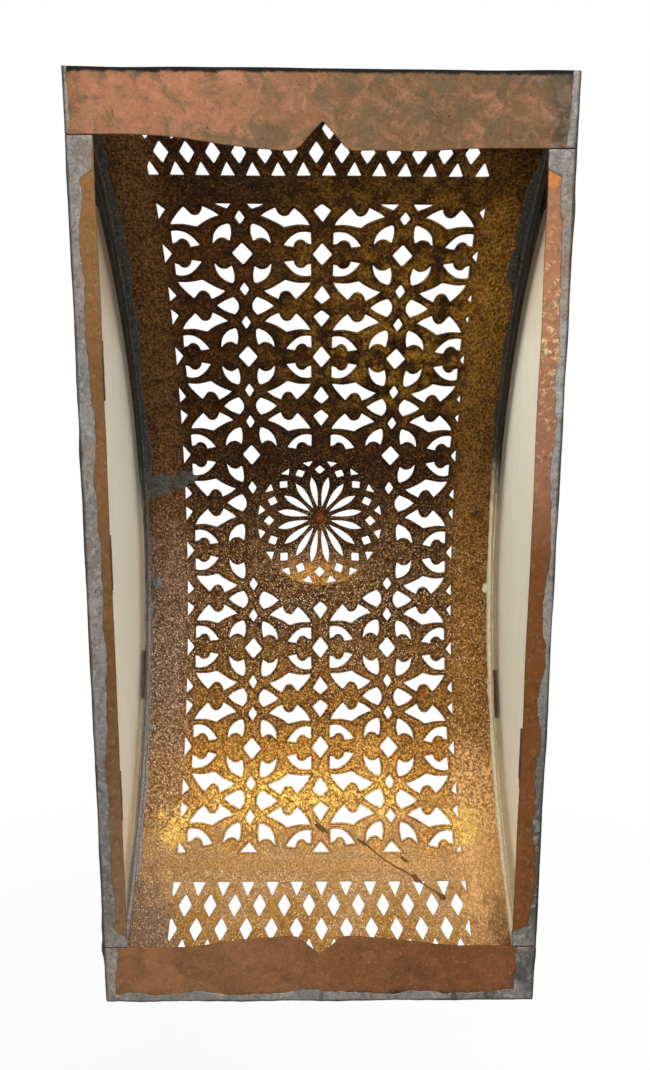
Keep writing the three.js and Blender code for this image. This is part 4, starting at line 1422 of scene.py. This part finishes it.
class SCONCE_OT_seam_flows(bpy.types.Operator):
    """Adds the solder that has run from the seams over the front sheet and the sides, with its drops"""
    bl_idname = "sconce.seam_flows"
    bl_label = "Seam Flows"
    bl_options = {"REGISTER", "UNDO"}

    # The solder's thickness and edge, the steps of its wavy side, its facets, its least width, the depth of
    # its deepest hollow, and its width on the sides
    thick = 0.6 * MM
    edge = 0.2 * MM
    step = 1.8 * MM
    facet = 2.5 * MM
    narrowest = 0.5 * MM
    deepest = 0.3 * MM
    side_width = 9 * MM

    # How far short of the sheet's ends the solder stops, on the sheet and on the sides
    sheet_short = 3 * MM
    side_short = 22 * MM

    # Width of the solder on the sheet, in millimetres: the least, and where it is broader, as added width
    # and the places along the sheet between which that comes, and between which it goes again
    sheet_widths = {
        "right": (2, (2.2, -90, -120, -215, -190), (3.2, 10, 45)),
        "left": (1.2, (1.4, 20, 60), (4.2, 150, 165, 222, 205)),
    }

    # How much longer than wide a drop is, and its height as a share of its radius
    drop_length = 1.3
    drop_height = 0.45

    # A smear's thickness, how deep it goes into the sheet, its edge, facets and sides
    smear_thick = 0.4 * MM
    smear_sunk = 0.1 * MM
    smear_edge = 0.15 * MM
    smear_facet = 2 * MM
    smear_sides = 72

    # Drops, as place across, place along and radius, and smears, as two places and two half widths
    drops = ((-103.5, 169, 3.6), (-104.6, -32, 2.4), (101.7, -29, 3.2), (104.5, 70, 2.0), (105, -118, 2.2))
    smears = ((99, 32, 7, 7), (90, 35, 11, 3.6), (81, 38, 6, 3.4))

    def execute(self, context):
        arch = Arch(context.scene.sconce_sizes)
        for name, side, seed in (("right", 1, 71), ("left", -1, 83)):
            corner = seam_corner(f"{name}_seam_solder") + 0.2 * MM
            self.flow(
                f"{name}_sheet_flow", arch.half - self.sheet_short, lambda s: self.sheet_width(name, s), seed,
                lambda s, w, out: arch.bend(side * (corner - w), s, -out))
            self.flow(
                f"{name}_side_flow", arch.half - self.side_short, lambda s: self.side_width, seed + 5,
                lambda s, w, out: arch.bend(side * (corner - out), s, -w))
        for i, drop in enumerate(self.drops, 1):
            self.drop(f"solder_drop_{i}", arch, *(length * MM for length in drop))
        for i, smear in enumerate(self.smears, 1):
            self.smear(f"solder_smear_{i}", arch, *smear)
        return {"FINISHED"}

    def sheet_width(self, name, s):
        width, *swells = self.sheet_widths[name]
        for more, *places in swells:
            for start, full in zip(places[::2], places[1::2]):
                more *= smooth(s, start * MM, full * MM)
            width += more
        return width * MM

    def flow(self, name, reach, width, seed, place):
        """A wavy tongue of solder along a seam. The place is given by its length, width and height."""
        count = round(2 * reach / self.step)
        edge = []
        for i in range(count + 1):
            s = reach * (2 * i / count - 1)
            ragged = ripple((s, 0, 0), seed, (21, 2.4), (4, 1.0))
            edge.append(Vector((s, max(self.narrowest, width(s) + ragged))))
        outline = [Vector((-reach, 0)), Vector((reach, 0)), *edge[::-1]]
        bm = flat_sheet(name, [outline], self.thick, self.edge, 1)
        slice_up(bm, self.facet, 0, 1)

        def lumpy(s, w, out):
            lump = ripple((s, w, 0), seed, (3.5, 0.5), (10, 0.3))
            return place(s, w, out + (max(-self.deepest, lump) if out > self.thick / 2 else 0))

        settle(name, bm, lumpy, seam_solder, "solder", sharp=75)

    def drop(self, name, arch, x, s, radius):
        """A rough drop of solder on the front sheet."""
        bm = bmesh.new()
        bmesh.ops.create_icosphere(bm, subdivisions=4, radius=radius)

        def place(across, along, out):
            swell = 1 + wave((across + x, along + s, out), 1.6 * MM, 0.4, 5)
            swell += wave((across, along, s), 0.7 * MM, 0.15, 5)
            return arch.bend(
                x + across * swell, s + along * swell * self.drop_length, out * swell * self.drop_height)

        settle(name, bm, place, seam_solder, "solder", sharp=80)

    def smear(self, name, arch, x, s, wide, high):
        """A dark, ragged smear of solder on the front sheet, in millimetres."""
        middle = Vector((x, s)) * MM
        outline = []
        for way in circle((0, 0), 1, self.smear_sides):
            ragged = 1 + wave((way.x * 8, way.y * 8, 0), 6, 0.55, x) + wave((*way, 0), 0.22, 0.3, s)
            outline.append(middle + Vector((way.x * wide, way.y * high)) * ragged * MM)
        bm = flat_sheet(name, [outline], self.smear_thick, self.smear_edge)
        slice_up(bm, self.smear_facet, 1, 0)

        def place(x, s, out):
            return arch.bend(x, s, self.smear_sunk - out * (1.2 + wave((x, s, 0), 3 * MM, 1.2, 3)))

        settle(name, bm, place, seam_solder, "solder", sharp=75)


class SCONCE_OT_tabs(bpy.types.Operator):
    """Adds the bent tabs that hold the glass"""
    bl_idname = "sconce.tabs"
    bl_label = "Tabs"
    bl_options = {"REGISTER", "UNDO"}

    edge = 0.15 * MM
    facet = 3 * MM

    def execute(self, context):
        for node in sorted(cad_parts):
            if "_tab" in node:
                bm = softened(node, self.edge)
                slice_up(bm, self.facet, 2)
                settle(f"{node}_sheet", bm, self.bent, tab_copper, "tab_copper", node)
        return {"FINISHED"}

    @staticmethod
    def bent(x, y, z):
        """Bent a little, as by hand."""
        return x + ripple((x, y, z), 7, (9, 0.15)), y + ripple((x, y, z), 9, (8, 0.35)), z


class SCONCE_OT_stage(bpy.types.Operator):
    """Adds the floor, the lights and the camera"""
    bl_idname = "sconce.stage"
    bl_label = "Stage"

    # The photograph's camera: its lens, its place, and which ways are right and up in the picture
    lens = 28.6
    sensor = 36
    clip_start = 0.01
    eye = Vector((3.34, 404.33, 95.43)) * MM
    right = Vector((-0.99992, 0.01216, 0.00336))
    up = Vector((0.00114, -0.17781, 0.98406))
    floor_height = -0.75
    floor_half = 20

    # How bright the world is as light, where white is 1
    fill = 0.9

    # Name, place, aim, width and power of each lamp
    lamps = (
        ("key", (-0.22, 0.55, 1.02), (0, -0.05, -0.15), 0.6, 7.5),
        ("front", (-0.6, -1.0, 0.5), (0, 0, 0), 0.8, 3),
    )

    def execute(self, context):
        scene = context.scene
        self.floor()
        self.camera(scene)
        for lamp in self.lamps:
            self.lamp(*lamp)
        scene.world = self.world()
        scene.view_settings.view_transform = "Standard"
        return {"FINISHED"}

    def floor(self):
        bm = bmesh.new()
        bmesh.ops.create_grid(bm, x_segments=2, y_segments=2, size=self.floor_half)
        bmesh.ops.translate(bm, verts=bm.verts, vec=(0, 0, self.floor_height))
        added("floor", mesh_of("floor", bm, floor_white()))

    def camera(self, scene):
        lens = bpy.data.cameras.new("camera")
        lens.lens = self.lens
        lens.sensor_width = self.sensor
        lens.clip_start = self.clip_start
        scene.camera = added("camera", lens)
        turn = Matrix((self.right, self.up, self.right.cross(self.up))).transposed().to_4x4()
        scene.camera.matrix_world = Matrix.Translation(self.eye) @ turn

    def lamp(self, name, place, aim, width, power):
        light = bpy.data.lights.new(name, "AREA")
        light.size = width
        light.energy = power
        lamp = added(name, light)
        lamp.location = place
        lamp.rotation_euler = (Vector(aim) - Vector(place)).to_track_quat("-Z", "Y").to_euler()

    def world(self):
        """White to the eye, and a little dimmer as light."""
        s = Shader("studio", bpy.data.worlds)
        strength = s.seen_directly() * (1 - self.fill) + self.fill
        light = s.node("Background", {}, {"Color": (1, 1, 1, 1), "Strength": strength})
        return s.output(light, "OutputWorld")


OPERATORS = (
    SCONCE_OT_stage,
    SCONCE_OT_front_sheet,
    SCONCE_OT_ring_chain,
    SCONCE_OT_rosette,
    SCONCE_OT_wall_frame,
    SCONCE_OT_frame_solder,
    SCONCE_OT_sides,
    SCONCE_OT_seams,
    SCONCE_OT_seam_flows,
    SCONCE_OT_tabs,
)


class SCONCE_PT_panel(bpy.types.Panel):
    """Lists the sconce's pieces, sizes and colours"""
    bl_idname = "SCONCE_PT_panel"
    bl_label = "Sconce"
    bl_space_type = "VIEW_3D"
    bl_region_type = "UI"
    bl_category = "Sconce"

    def draw(self, context):
        for operator in OPERATORS:
            self.layout.operator(operator.bl_idname)
        for group in (context.scene.sconce_sizes, context.scene.sconce_colours):
            for name in group.__annotations__:
                self.layout.prop(group, name)


CLASSES = (SconceSizes, SconceColours, *OPERATORS, SCONCE_PT_panel)


def register():
    for cls in CLASSES:
        bpy.utils.register_class(cls)
    bpy.types.Scene.sconce_sizes = PointerProperty(type=SconceSizes)
    bpy.types.Scene.sconce_colours = PointerProperty(type=SconceColours)


def unregister():
    del bpy.types.Scene.sconce_colours
    del bpy.types.Scene.sconce_sizes
    for cls in reversed(CLASSES):
        bpy.utils.unregister_class(cls)


def main():
    register()
    for operator in OPERATORS:
        family, name = operator.bl_idname.split(".")
        getattr(getattr(bpy.ops, family), name)()


if __name__ == "__main__":
    main()
